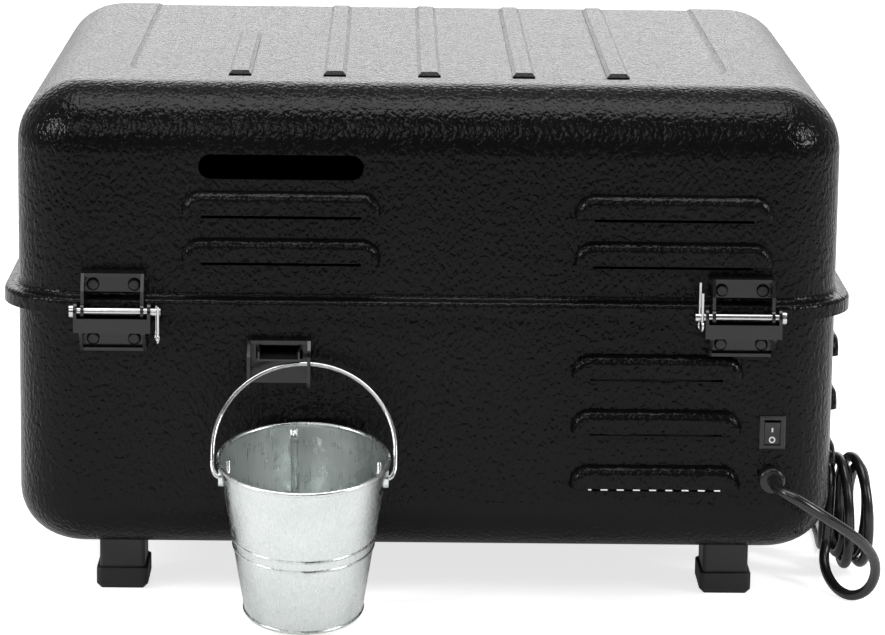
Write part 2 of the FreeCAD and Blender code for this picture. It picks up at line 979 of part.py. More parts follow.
def clip_x(side):
    """Middle of the hairpin clip, just inboard of the base bracket."""
    return side * (hinge_x - base_bracket_width / 2 - clip_from_bracket)


def hinge_pin(side):
    """Clevis pin with its head outboard and a cross hole for the clip inboard."""
    outer = hinge_x + base_bracket_width / 2
    inner = hinge_x - base_bracket_width / 2 - pin_tail
    shank = x_rod(side * inner, side * (outer + pin_head_thickness),
                  hinge_pin_y, hinge_pin_z, hinge_pin_radius)
    head = x_rod(side * (outer + fit_gap), side * (outer + fit_gap + pin_head_thickness),
                 hinge_pin_y, hinge_pin_z, pin_head_radius)
    cross = z_rod(hinge_pin_z - 5, hinge_pin_z + 5, clip_x(side), hinge_pin_y,
                  clip_wire_radius + running_clearance)
    return fused([shank, head]).cut(cross)


def hinge_clip(side, eye_drop, tail, outer_tail):
    """Hairpin clip: one leg through the pin, one beside it, and a round eye below the pin."""
    x = clip_x(side)
    y = hinge_pin_y
    far_y = y - clip_leg_gap
    eye_half = clip_leg_gap / 2
    eye_sag = math.sqrt(clip_eye_radius ** 2 - eye_half ** 2)
    eye_z = hinge_pin_z - eye_drop
    legs = [
        z_rod(eye_z + eye_sag, hinge_pin_z + tail, x, y, clip_wire_radius),
        z_rod(eye_z + eye_sag, hinge_pin_z + outer_tail, x, far_y, clip_wire_radius),
    ]
    eye = Part.makeTorus(
        clip_eye_radius, clip_wire_radius, Vector(x, y - eye_half, eye_z), Vector(1, 0, 0)
    )
    gap = box(x - clip_eye_radius, x + clip_eye_radius, far_y, y,
              eye_z + eye_sag, eye_z + 2 * clip_eye_radius)
    clip = fused(legs + [eye.cut(gap)])
    return turned(clip, Vector(x, y, 0), Vector(0, 0, 1), clip_yaw_deg)


# Feet


def leg_places():
    reach = body_depth / 2 - foot_from_wall - boot_depth / 2
    places = []
    for y in (body_centre_y - reach, body_centre_y + reach):
        for x in (-foot_x, foot_x):
            places.append((x, y))
    return places


def leg(x, y):
    """Folded box leg, closed at the top where its screw holds it to the base."""
    z0 = boot_height - leg_sink
    outside = rounded_block(leg_width, leg_depth, leg_corner_radius, z0, base_bottom_z, x, y)
    inside = rounded_block(
        leg_width - 2 * leg_wall,
        leg_depth - 2 * leg_wall,
        leg_corner_radius - leg_wall / 2,
        z0,
        base_bottom_z - leg_wall,
        x,
        y,
    )
    hole = z_rod(base_bottom_z - 2 * leg_wall, base_bottom_z, x, y,
                 screw_shank_radius + screw_clearance)
    return outside.cut(inside).cut(hole)


def boot(x, y):
    """Rubber boot with a socket for the leg."""
    block = rounded_block(boot_width, boot_depth, boot_corner_radius, 0, boot_height, x, y)
    block = block.makeChamfer(boot_chamfer, level_edges(block, 0))
    block = block.makeFillet(boot_edge_radius, level_edges(block, boot_height))
    socket = rounded_block(
        leg_width + 2 * leg_fit,
        leg_depth + 2 * leg_fit,
        leg_corner_radius + leg_fit,
        boot_height - leg_sink,
        boot_height + 1,
        x,
        y,
    )
    return block.cut(socket)


def leg_screw(x, y):
    """Screw from the chamber floor down into the leg's top."""
    head = z_rod(floor_z, floor_z + screw_head_height, x, y, screw_head_radius)
    head = head.makeFillet(screw_crown_radius, level_edges(head, floor_z + screw_head_height))
    shank = z_rod(floor_z - screw_shank_length, floor_z, x, y, screw_shank_radius)
    return head.fuse(shank)


# Chamber


def cavity_slab(x0, x1, z_top):
    """Slice of the base's inner space between two X positions, up to a height."""
    slab = box(x0, x1, rear_y, front_y, 0, z_top)
    return base_cavity(0).common(slab)


def tray_turn(shape):
    """Slope something down towards the rear by the drip tray's angle."""
    pivot = Vector(0, inner_rear_y, tray_floor_z)
    return turned(shape, pivot, Vector(1, 0, 0), tray_slope_deg)


def partition_wall():
    wall = cavity_slab(partition_x, partition_x + sheet, partition_top_z)
    through = x_rod(partition_x - 1, partition_x + sheet + 1, auger_y, auger_z,
                    auger_tube_radius + running_clearance)
    igniter = x_rod(partition_x - 1, partition_x + sheet + 1, auger_y + igniter_offset, igniter_z,
                    igniter_radius + running_clearance)
    probe = x_rod(partition_x - 1, partition_x + sheet + 1, rear_y + probe_from_rear, probe_z,
                  probe_radius + running_clearance)
    duct = box(partition_x - 1, partition_x + sheet + 1, blower_y - duct_width / 2,
               blower_y + duct_width / 2, blower_z - duct_width / 2, blower_z + duct_width / 2)
    return wall.cut(through).cut(igniter).cut(probe).cut(duct)


def side_rail(wall_x, inward):
    """Rail on a chamber side wall: a top shelf for the grate and a sloped shelf for the tray."""
    y0 = inner_rear_y + rail_end_gap
    y1 = inner_front_y - rail_end_gap
    web_x = wall_x + inward * sheet
    tip_x = wall_x + inward * rail_width
    low = min(wall_x, tip_x)
    high = max(wall_x, tip_x)
    web = box(min(wall_x, web_x), max(wall_x, web_x), y0, y1,
              tray_floor_z - tray_sheet - rail_web_drop, rail_top_z)
    shelf = box(low, high, y0, y1, rail_top_z - sheet, rail_top_z)
    tray_top = tray_floor_z - tray_sheet
    tray_shelf = tray_turn(box(low, high, y0, y1, tray_top - sheet, tray_top))
    rail = fused([web, shelf, tray_shelf])
    probe = x_rod(low - 1, high + 1, rear_y + probe_from_rear, probe_z,
                  probe_radius + running_clearance)
    return rail.cut(probe)


chamber_left_x = -base_wall_inner_x
chamber_right_x = partition_x
chamber_mid_x = (chamber_left_x + chamber_right_x) / 2
blower_y = auger_y - blower_from_auger


def cooking_grate():
    """Wire grate resting on both rails."""
    radius = grate_frame_radius
    z = rail_top_z + fit_gap + radius
    x0 = chamber_left_x + sheet + grate_side_gap + radius
    x1 = chamber_right_x - sheet - grate_side_gap - radius
    y0 = inner_rear_y + grate_end_gap + radius
    y1 = inner_front_y - grate_end_gap - radius
    wires = [
        x_rod(x0, x1, y0, z, radius),
        x_rod(x0, x1, y1, z, radius),
        y_rod(y0, y1, x0, z, radius),
        y_rod(y0, y1, x1, z, radius),
        x_rod(x0, x1, (y0 + y1) / 2, z - grate_brace_sink, grate_rod_radius),
    ]
    for x in (x0, x1):
        for y in (y0, y1):
            wires.append(Part.makeSphere(radius, Vector(x, y, z)))
    count = int((x1 - x0) // grate_rod_pitch)
    pitch = (x1 - x0) / (count + 1)
    for index in range(1, count + 1):
        wires.append(y_rod(y0, y1, x0 + index * pitch, z + grate_rod_rise, grate_rod_radius))
    return fused(wires)


def drain_opening(y0, y1):
    """Opening that the tray's spout passes through."""
    half = spout_width / 2 + drain_side_gap
    return box(drain_x - half, drain_x + half, y0, y1, tray_floor_z - drain_low_gap,
               drain_top_z - drain_top_gap)


def drip_tray():
    """Sloped grease tray with a rim and an open spout out of the rear wall."""
    x0 = chamber_left_x + sheet + fit_gap
    x1 = chamber_right_x - sheet - fit_gap
    y0 = inner_rear_y + tray_rear_gap
    y1 = inner_front_y - tray_rear_gap
    z0 = tray_floor_z - tray_sheet
    z1 = tray_floor_z + tray_lip
    wall = tray_sheet
    corner = wall_corner_radius - tray_rear_gap
    pan = rounded_block(x1 - x0, y1 - y0, corner, z0, z1, (x0 + x1) / 2, (y0 + y1) / 2)
    inside = rounded_block(
        x1 - x0 - 2 * wall, y1 - y0 - 2 * wall, corner - wall, tray_floor_z, z1 + 1,
        (x0 + x1) / 2, (y0 + y1) / 2,
    )
    half = spout_width / 2
    spout_end = rear_y - spout_reach
    spout = box(drain_x - half, drain_x + half, spout_end, y0 + 2 * wall,
                z0, tray_floor_z + spout_height)
    channel = box(drain_x - half + wall, drain_x + half - wall, spout_end - 1, y0 + 3 * wall,
                  tray_floor_z, z1 + 2)
    tray = pan.cut(inside).fuse(spout).cut(channel)
    return tray_turn(tray.removeSplitter())


def heat_baffle():
    """Folded plate over the fire pot, standing on four strips."""
    x0 = pot_x - baffle_width / 2
    x1 = pot_x + baffle_width / 2
    y0 = auger_y - baffle_depth / 2
    y1 = auger_y + baffle_depth / 2
    pieces = [
        box(x0, x1, y0, y1, baffle_z, baffle_z + sheet),
        box(x0, x1, y0, y0 + sheet, baffle_z - baffle_lip, baffle_z + sheet),
        box(x0, x1, y1 - sheet, y1, baffle_z - baffle_lip, baffle_z + sheet),
    ]
    for x in (x0, x1 - baffle_leg_width):
        for y in (y0, y1 - sheet):
            pieces.append(box(x, x + baffle_leg_width, y, y + sheet, floor_z, baffle_z))
    return fused(pieces)


def fire_pot():
    """Burn pot on a skirt, with a floor, air holes and openings for the auger and the igniter."""
    outside = z_rod(floor_z, pot_top_z, pot_x, auger_y, pot_radius)
    upper = z_rod(pot_floor_z, pot_top_z + 1, pot_x, auger_y, pot_radius - pot_wall)
    lower = z_rod(floor_z - 1, pot_floor_z - pot_wall, pot_x, auger_y, pot_radius - pot_wall)
    pot = outside.cut(upper).cut(lower)
    centre = Vector(pot_x, auger_y, pot_top_z - pot_hole_drop)
    spoke = x_rod(pot_x + pot_radius - 4, pot_x + pot_radius + 4, auger_y, centre.z,
                  pot_hole_radius)
    for index in range(pot_hole_count):
        angle_deg = 360.0 * (index + 0.5) / pot_hole_count
        pot = pot.cut(turned(spoke, centre, Vector(0, 0, 1), angle_deg))
    mouth = x_rod(pot_x, pot_x + pot_radius + 2, auger_y, auger_z,
                  auger_tube_radius + running_clearance)
    igniter = x_rod(pot_x, pot_x + pot_radius + 2, auger_y + igniter_offset, igniter_z,
                    igniter_radius + running_clearance)
    return pot.cut(mouth).cut(igniter)


def igniter_rod():
    """Hot rod from inside the fire pot to a collar on the partition wall."""
    y = auger_y + igniter_offset
    start = pot_x + math.sqrt(pot_radius ** 2 - igniter_offset ** 2) - igniter_tip
    bar = x_rod(start, partition_x + sheet + igniter_stub, y, igniter_z, igniter_radius)
    collar = x_rod(partition_x + sheet, partition_x + sheet + igniter_collar, y, igniter_z,
                   igniter_radius + igniter_collar_rise)
    return bar.fuse(collar)


# Auger and its drive


def auger_tube():
    """Feed tube with an inlet under the hopper, a flange on the partition and one at the motor."""
    start = pot_x + math.sqrt(pot_radius ** 2 - auger_tube_radius ** 2) - tube_end_in
    outside = [
        x_rod(start, auger_motor_x, auger_y, auger_z, auger_tube_radius),
        x_rod(partition_x + sheet, partition_x + sheet + tube_flange_thickness,
              auger_y, auger_z, tube_flange_radius),
        x_rod(auger_motor_x - tube_flange_thickness, auger_motor_x,
              auger_y, auger_z, tube_flange_radius),
    ]
    bore = x_rod(start - 1, auger_motor_x + 1, auger_y, auger_z,
                 auger_tube_radius - auger_tube_wall)
    half = hopper_mouth_width / 2
    inlet = box(hopper_mouth_x - half, hopper_mouth_x + half,
                auger_y - hopper_mouth_length / 2 + inlet_margin,
                auger_y + hopper_mouth_length / 2 - inlet_margin,
                auger_z, hopper_mouth_z + inlet_rise)
    return fused(outside).cut(bore).cut(inlet)


def auger_screw():
    """Feed screw: a shaft with one helical flight, driven by the gear motor."""
    start = pot_x + math.sqrt(pot_radius ** 2 - auger_tube_radius ** 2)
    length = auger_motor_x - auger_end_gap - start
    helix = Part.makeHelix(flight_pitch, length - flight_thickness, flight_radius / 2)
    half = flight_thickness / 2
    root = auger_shaft_radius - flight_root_sink
    section = Part.makePolygon([
        Vector(root, 0, -half), Vector(flight_radius, 0, -half),
        Vector(flight_radius, 0, half), Vector(root, 0, half), Vector(root, 0, -half),
    ])
    flight = Part.Wire(helix).makePipeShell([section], True, True)
    flight.rotate(Vector(0, 0, 0), Vector(0, 1, 0), 90)
    flight.translate(Vector(start + half, auger_y, auger_z))
    shaft = x_rod(start, auger_motor_x + auger_stub, auger_y, auger_z, auger_shaft_radius)
    return shaft.fuse(flight)


def auger_motor():
    """Gear motor on the tube's outer flange."""
    x0 = auger_motor_x
    gearbox = rounded_block(gearbox_length, motor_width, gearbox_corner_radius,
                            auger_z - motor_height / 2, auger_z + motor_height / 2,
                            x0 + gearbox_length / 2, auger_y)
    can = x_rod(x0 + gearbox_length / 2, x0 + motor_length, auger_y,
                auger_z - motor_can_drop, motor_can_radius)
    socket = x_rod(x0 - 1, x0 + motor_socket, auger_y, auger_z,
                   auger_shaft_radius + running_clearance)
    return fused([gearbox, can]).cut(socket)


# Hopper


def rectangle(x0, x1, y0, y1, z):
    return Part.makePolygon([
        Vector(x0, y0, z), Vector(x1, y0, z), Vector(x1, y1, z), Vector(x0, y1, z),
        Vector(x0, y0, z),
    ])


def funnel(inset, z_low, z_high):
    """Tapered space of the hopper, drawn in by an inset; it keeps its slopes past both ends."""
    share_low = (z_low - hopper_mouth_z) / (hopper_rim_z - hopper_mouth_z)
    share_high = (z_high - hopper_mouth_z) / (hopper_rim_z - hopper_mouth_z)
    wires = []
    for share, z in ((share_low, z_low), (share_high, z_high)):
        mouth = (
            hopper_mouth_x - hopper_mouth_width / 2, hopper_mouth_x + hopper_mouth_width / 2,
            auger_y - hopper_mouth_length / 2, auger_y + hopper_mouth_length / 2,
        )
        rim = (
            hopper_left_x, hopper_left_x + hopper_width,
            rear_y + hopper_from_rear, rear_y + hopper_from_rear + hopper_length,
        )
        x0, x1, y0, y1 = [m + share * (r - m) for m, r in zip(mouth, rim)]
        wires.append(rectangle(x0 + inset, x1 - inset, y0 + inset, y1 - inset, z))
    return Part.makeLoft(wires, True, True)


def hopper():
    """Pellet hopper: a tapered box on the auger tube, hung from a rim on the deck."""
    outside = funnel(0, hopper_mouth_z, hopper_rim_z)
    inside = funnel(hopper_sheet, hopper_mouth_z, hopper_rim_z)
    lap = hopper_lid_lap
    x0 = hopper_left_x - lap
    x1 = hopper_left_x + hopper_width + lap
    y0 = rear_y + hopper_from_rear - lap
    y1 = rear_y + hopper_from_rear + hopper_length + lap
    top = hopper_rim_z + deck_thickness
    collar = box(x0 + lap, x1 - lap, y0 + lap, y1 - lap, hopper_rim_z, top)
    rim = box(x0, x1, y0, y1, top, top + hopper_sheet)
    hole = box(x0 + lap + hopper_sheet, x1 - lap - hopper_sheet, y0 + lap + hopper_sheet,
               y1 - lap - hopper_sheet, hopper_rim_z, top + 2 * hopper_sheet)
    neck_x = hopper_mouth_width / 2
    neck_y = hopper_mouth_length / 2
    neck = box(hopper_mouth_x - neck_x, hopper_mouth_x + neck_x,
               auger_y - neck_y, auger_y + neck_y, auger_z + hopper_neck_rise, hopper_mouth_z)
    wall = hopper_sheet
    neck_hole = box(hopper_mouth_x - neck_x + wall, hopper_mouth_x + neck_x - wall,
                    auger_y - neck_y + wall, auger_y + neck_y - wall,
                    auger_z, hopper_mouth_z + 2 * wall)
    saddle = x_rod(hopper_left_x, hopper_left_x + hopper_width, auger_y, auger_z,
                   auger_tube_radius + fit_gap)
    bin_shape = fused([outside, collar, rim, neck])
    return bin_shape.cut(inside).cut(hole).cut(neck_hole).cut(saddle)


def hopper_guard():
    """Slotted finger guard lying in the hopper."""
    slab = funnel(hopper_sheet + fit_gap, guard_z, guard_z + guard_thickness)
    bounds = slab.BoundBox
    pitch = (bounds.XLength - guard_margin) / guard_slot_count
    half = pitch * guard_slot_share
    for index in range(guard_slot_count):
        x = bounds.XMin + guard_margin / 2 + (index + 0.5) * pitch
        slab = slab.cut(box(x - half, x + half, bounds.YMin + guard_margin,
                            bounds.YMax - guard_margin, guard_z - 1, guard_z + guard_thickness + 1))
    return slab


hopper_hinge_x = hopper_left_x - hopper_lid_lap - barrel_radius - barrel_gap
hopper_hinge_z = hopper_rim_z + deck_thickness + hopper_sheet + barrel_radius + barrel_rise


def hopper_lid():
    """Lid with a turned-down lip on three sides and hinge barrels along the partition side."""
    lap = hopper_lid_lap + hopper_lid_overlap
    x0 = hopper_left_x - lap
    x1 = hopper_left_x + hopper_width + lap
    y0 = rear_y + hopper_from_rear - lap
    y1 = rear_y + hopper_from_rear + hopper_length + lap
    z0 = hopper_rim_z + deck_thickness + hopper_sheet + fit_gap
    z1 = z0 + hopper_lid_thickness
    plate = box(hopper_hinge_x, x1, y0, y1, z0, z1)
    middle = (y0 + y1) / 2
    grip = box(x1 - hopper_grip_width, x1, middle - hopper_grip_length / 2,
               middle + hopper_grip_length / 2, z1, z1 + hopper_grip_height)
    pieces = [plate, grip]
    share = (y1 - y0) / knuckle_count
    for index in range(0, knuckle_count, 2):
        start = y0 + index * share + fit_gap
        end = y0 + (index + 1) * share - fit_gap
        pieces.append(y_rod(start, end, hopper_hinge_x, hopper_hinge_z, barrel_radius))
    lid = fused(pieces)
    for index in range(1, knuckle_count, 2):
        start = y0 + index * share - fit_gap
        end = y0 + (index + 1) * share + fit_gap
        lid = lid.cut(box(hopper_hinge_x - 2 * barrel_radius,
                          hopper_hinge_x + barrel_radius + barrel_gap / 2,
                          start, end, z0 - barrel_radius, z1 + 3 * barrel_radius))
    bore = y_rod(y0 - 1, y1 + 1, hopper_hinge_x, hopper_hinge_z,
                 hopper_pin_radius + running_clearance)
    return lid.cut(bore)


def hopper_lid_hinge():
    """Deck side of the hopper lid's hinge: two knuckles with the pin through them."""
    lap = hopper_lid_lap + hopper_lid_overlap
    y0 = rear_y + hopper_from_rear - lap
    y1 = rear_y + hopper_from_rear + hopper_length + lap
    share = (y1 - y0) / knuckle_count
    deck_top = hopper_rim_z + deck_thickness
    pieces = [y_rod(y0, y1, hopper_hinge_x, hopper_hinge_z, hopper_pin_radius)]
    for index in range(1, knuckle_count, 2):
        start = y0 + index * share
        end = y0 + (index + 1) * share
        pieces.append(y_rod(start, end, hopper_hinge_x, hopper_hinge_z, barrel_radius))
        pieces.append(box(hopper_hinge_x - barrel_radius, hopper_hinge_x, start, end,
                          deck_top, hopper_hinge_z))
    return fused(pieces)


# Control deck


controller_y = inner_front_y - panel_from_front - controller_length / 2
deck_top_z = hopper_rim_z + deck_thickness
bezel_top_z = deck_top_z + bezel_height
knob_x = controller_x + controller_width / 2 - knob_from_side
knob_y = controller_y - knob_before_middle
display_x = controller_x - display_left_of_middle
display_y = controller_y + display_past_middle
button_y = controller_y - button_before_middle
button_places = ((display_x - button_spread, button_y), (display_x + button_spread, button_y))
jack_x = knob_x
jack_y = controller_y + jack_past_middle


def control_deck():
    """Top plate of the hopper compartment, with openings for the hopper and the controller."""
    plate = base_cavity(fit_gap).common(
        box(partition_x + sheet + fit_gap, half_width, rear_y, front_y, hopper_rim_z, deck_top_z)
    )
    gap = running_clearance
    hopper_hole = box(hopper_left_x - gap, hopper_left_x + hopper_width + gap,
                      rear_y + hopper_from_rear - gap,
                      rear_y + hopper_from_rear + hopper_length + gap, 0, deck_top_z + 1)
    half_x = controller_width / 2 - bezel_lap
    half_y = controller_length / 2 - bezel_lap
    panel_hole = box(controller_x - half_x - gap, controller_x + half_x + gap,
                     controller_y - half_y - gap, controller_y + half_y + gap, 0, deck_top_z + 1)
    plate = plate.cut(hopper_hole).cut(panel_hole)
    start_x = partition_x + sheet + fit_gap
    ledge = base_cavity(0).common(
        box(start_x, half_width, rear_y, front_y, hopper_rim_z - deck_ledge, hopper_rim_z)
    )
    inner = base_cavity(sheet).common(
        box(partition_x, half_width, rear_y, front_y, hopper_rim_z - 2 * deck_ledge,
            hopper_rim_z + 1)
    )
    return fused([plate, ledge.cut(inner)])


def controller_box():
    """Controller: a faceplate over the deck and a box of electronics hanging below it."""
    half_x = controller_width / 2
    half_y = controller_length / 2
    face = rounded_block(controller_width, controller_length, bezel_corner_radius,
                         deck_top_z, bezel_top_z, controller_x, controller_y)
    face = face.makeFillet(bezel_edge_radius, level_edges(face, bezel_top_z))
    below = box(controller_x - half_x + bezel_lap, controller_x + half_x - bezel_lap,
                controller_y - half_y + bezel_lap, controller_y + half_y - bezel_lap,
                deck_top_z - controller_depth, deck_top_z)
    body = fused([face, below])
    window = box(display_x - display_width / 2, display_x + display_width / 2,
                 display_y - display_length / 2, display_y + display_length / 2,
                 bezel_top_z - window_depth, bezel_top_z + 1)
    body = body.cut(window)
    stem = z_rod(bezel_top_z - knob_stem_depth - knob_stem_gap, bezel_top_z + 1, knob_x, knob_y,
                 knob_stem_radius + running_clearance)
    body = body.cut(stem)
    for x, y in button_places:
        well = z_rod(bezel_top_z - button_well, bezel_top_z + 1, x, y,
                     button_radius + button_gap)
        body = body.cut(well)
    jack = z_rod(bezel_top_z - jack_depth, bezel_top_z + 1, jack_x, jack_y,
                 jack_radius + running_clearance)
    return body.cut(jack)


def display_window():
    gap = running_clearance
    return box(display_x - display_width / 2 + gap, display_x + display_width / 2 - gap,
               display_y - display_length / 2 + gap, display_y + display_length / 2 - gap,
               bezel_top_z - window_depth, bezel_top_z - window_sink)


def control_knob():
    """Knob with a fluted grip and a pointer ridge, turning on its stem."""
    skirt_z = bezel_top_z + knob_skirt_height
    top_z = bezel_top_z + knob_height
    grip_radius = knob_radius - knob_skirt_width
    skirt = z_rod(bezel_top_z + fit_gap, skirt_z, knob_x, knob_y, knob_radius)
    grip = z_rod(skirt_z, top_z, knob_x, knob_y, grip_radius)
    grip = grip.makeFillet(knob_edge_radius, level_edges(grip, top_z))
    knob = fused([skirt, grip])
    for index in range(knob_groove_count):
        angle = 2 * math.pi * index / knob_groove_count
        x = knob_x + (grip_radius + knob_groove_out) * math.cos(angle)
        y = knob_y + (grip_radius + knob_groove_out) * math.sin(angle)
        knob = knob.cut(z_rod(skirt_z, top_z + 1, x, y, knob_groove_radius))
    half = pointer_width / 2
    pointer = box(knob_x - half, knob_x + half, knob_y + pointer_start,
                  knob_y + knob_radius - pointer_margin,
                  top_z - pointer_sink, top_z + pointer_rise)
    stem = z_rod(bezel_top_z - knob_stem_depth, bezel_top_z + fit_gap + knob_stem_gap,
                 knob_x, knob_y, knob_stem_radius)
    return fused([knob, pointer, stem])


def push_button(x, y):
    top_z = bezel_top_z + button_rise
    cap = z_rod(bezel_top_z - button_well + button_travel + fit_gap, top_z, x, y, button_radius)
    return cap.makeFillet(button_edge_radius, level_edges(cap, top_z))


def probe_jack():
    """Socket for a meat probe."""
    sleeve = z_rod(bezel_top_z - jack_depth, bezel_top_z + jack_proud, jack_x, jack_y,
                   jack_radius)
    collar = z_rod(bezel_top_z, bezel_top_z + jack_collar_height, jack_x, jack_y,
                   jack_radius + jack_collar_width)
    bore = z_rod(bezel_top_z - jack_bore_depth, bezel_top_z + jack_collar_height + 1,
                 jack_x, jack_y, jack_bore_radius)
    return fused([sleeve, collar]).cut(bore)


def temp_probe():
    """Chamber temperature probe through the partition wall and the rail."""
    y = rear_y + probe_from_rear
    wall_x = partition_x + sheet
    bar = x_rod(partition_x - probe_length, wall_x + probe_stub, y, probe_z, probe_radius)
    collar = x_rod(wall_x, wall_x + probe_collar, y, probe_z, probe_radius + probe_collar_rise)
    return bar.fuse(collar)


# Blower


def blower_housing():
    """Round blower case on the partition wall, with an intake and a motor plate on arms."""
    x0 = partition_x + sheet
    x1 = x0 + blower_length
    outside = x_rod(x0, x1, blower_y, blower_z, blower_radius)
    inside = x_rod(x0 + blower_wall, x1 - blower_wall, blower_y, blower_z,
                   blower_radius - blower_wall)
    intake = x_rod(x1 - 2 * blower_wall, x1 + 1, blower_y, blower_z, intake_radius)
    half = duct_width / 2
    outlet = box(x0 - 1, x0 + 2 * blower_wall, blower_y - half, blower_y + half,
                 blower_z - half, blower_z + half)
    case = outside.cut(inside).cut(intake).cut(outlet)
    arms = []
    plate_x = x1 + blower_arm_length
    reach = rotor_radius - blower_arm_in
    for index in range(blower_arm_count):
        angle = math.pi / 2 + 2 * math.pi * index / blower_arm_count
        y = blower_y + reach * math.cos(angle)
        z = blower_z + reach * math.sin(angle)
        arms.append(x_rod(x1, plate_x, y, z, blower_arm_radius))
    plate = x_rod(plate_x, plate_x + blower_plate, blower_y, blower_z, rotor_radius)
    hole = x_rod(plate_x - 1, plate_x + blower_plate + 1, blower_y, blower_z, blower_plate_hole)
    return fused([case, plate.cut(hole)] + arms)


def blower_motor():
    """Motor on the blower's plate, with a socket for the rotor's shaft."""
    start = partition_x + sheet + blower_length + blower_arm_length + blower_plate
    can = x_rod(start, start + blower_motor_length, blower_y, blower_z, blower_motor_radius)
    socket = x_rod(start - 1, start + blower_socket, blower_y, blower_z,
                   blower_shaft_radius + running_clearance)
    return can.cut(socket)


def blower_rotor():
    """Squirrel-cage rotor: a hub disc, blades, a front ring and the shaft."""
    x0 = partition_x + sheet + (blower_length - rotor_length) / 2
    x1 = x0 + rotor_length
    disc = x_rod(x0, x0 + rotor_disc, blower_y, blower_z, rotor_radius)
    ring = tube(x_rod(x1 - rotor_disc, x1, blower_y, blower_z, rotor_radius),
                x_rod(x1 - 2 * rotor_disc, x1 + 1, blower_y, blower_z,
                      rotor_radius - rotor_ring_width))
    hub = x_rod(x0, x0 + rotor_hub_length, blower_y, blower_z, rotor_hub_radius)
    shaft = x_rod(x0, partition_x + sheet + blower_length + blower_shaft_stub,
                  blower_y, blower_z, blower_shaft_radius)
    pieces = [disc, ring, hub, shaft]
    axis = Vector(1, 0, 0)
    centre = Vector(x0, blower_y, blower_z)
    outer_z = blower_z + rotor_radius - blade_rim
    inner_z = outer_z - blade_depth
    blade = box(x0, x1, blower_y - blade_sheet / 2, blower_y + blade_sheet / 2, inner_z, outer_z)
    middle = Vector(x0, blower_y, (inner_z + outer_z) / 2)
    blade = turned(blade, middle, axis, blade_turn_deg)
    for index in range(blade_count):
        pieces.append(turned(blade, centre, axis, 360.0 * index / blade_count))
    return fused(pieces)


# Drain bracket, bucket and bail


def drain_bracket():
    """Shade over the spout with two ears; the right ear has the notch that holds the bail."""
    half = drain_width / 2
    x0 = drain_x - half
    x1 = drain_x + half
    shade_y = rear_y - drain_shade_depth
    notch_y = rear_y - bail_hook_out
    notch_half = bail_wire_radius + hook_floor_gap
    notch_z = bail_hook_z - notch_half
    prong_top = bail_hook_z + hook_rise
    lower_end = [
        (rear_y - drain_reach, prong_top - hook_slope),
        (rear_y - drain_reach, drain_bottom_z + drain_corner_cut),
        (rear_y - drain_reach + drain_corner_cut, drain_bottom_z),
    ]
    root = [(rear_y, drain_bottom_z), (rear_y, drain_top_z), (shade_y, drain_top_z)]
    notch = [
        (notch_y + notch_half, prong_top + 2 * hook_slope),
        (notch_y + notch_half, notch_z),
        (notch_y - notch_half, notch_z),
        (notch_y - notch_half, prong_top),
    ]
    back = box(x0, x1, rear_y - drain_plate, rear_y, drain_bottom_z, drain_top_z)
    back = back.cut(drain_opening(rear_y - 2 * drain_plate, rear_y + 1))
    pieces = [
        back,
        box(x0, x1, shade_y, rear_y, drain_top_z - drain_shade_drop, drain_top_z),
        side_plate(root + lower_end, x0, x0 + drain_plate),
        side_plate(root + notch + lower_end, x1 - drain_plate, x1),
    ]
    return fused(pieces)


bucket_up = Vector(0, -math.sin(bucket_tilt), math.cos(bucket_tilt))
bucket_rim = Vector(bail_x, rear_y - bucket_rim_out, bucket_rim_z)
bucket_pivot = Vector(
    bail_x,
    bucket_rim.y - bucket_up.y * bucket_pivot_drop,
    bucket_rim.z - bucket_up.z * bucket_pivot_drop,
)
bail_apex = Vector(bail_x, rear_y - bail_hook_out, bail_hook_z)
bucket_slope = (bucket_rim_radius - bucket_base_radius) / bucket_height
bucket_pivot_radius = bucket_rim_radius - bucket_slope * bucket_pivot_drop
bucket_ear_face = (
    bucket_pivot_radius + bucket_slope * bucket_ear_radius + bucket_ear_thickness
)


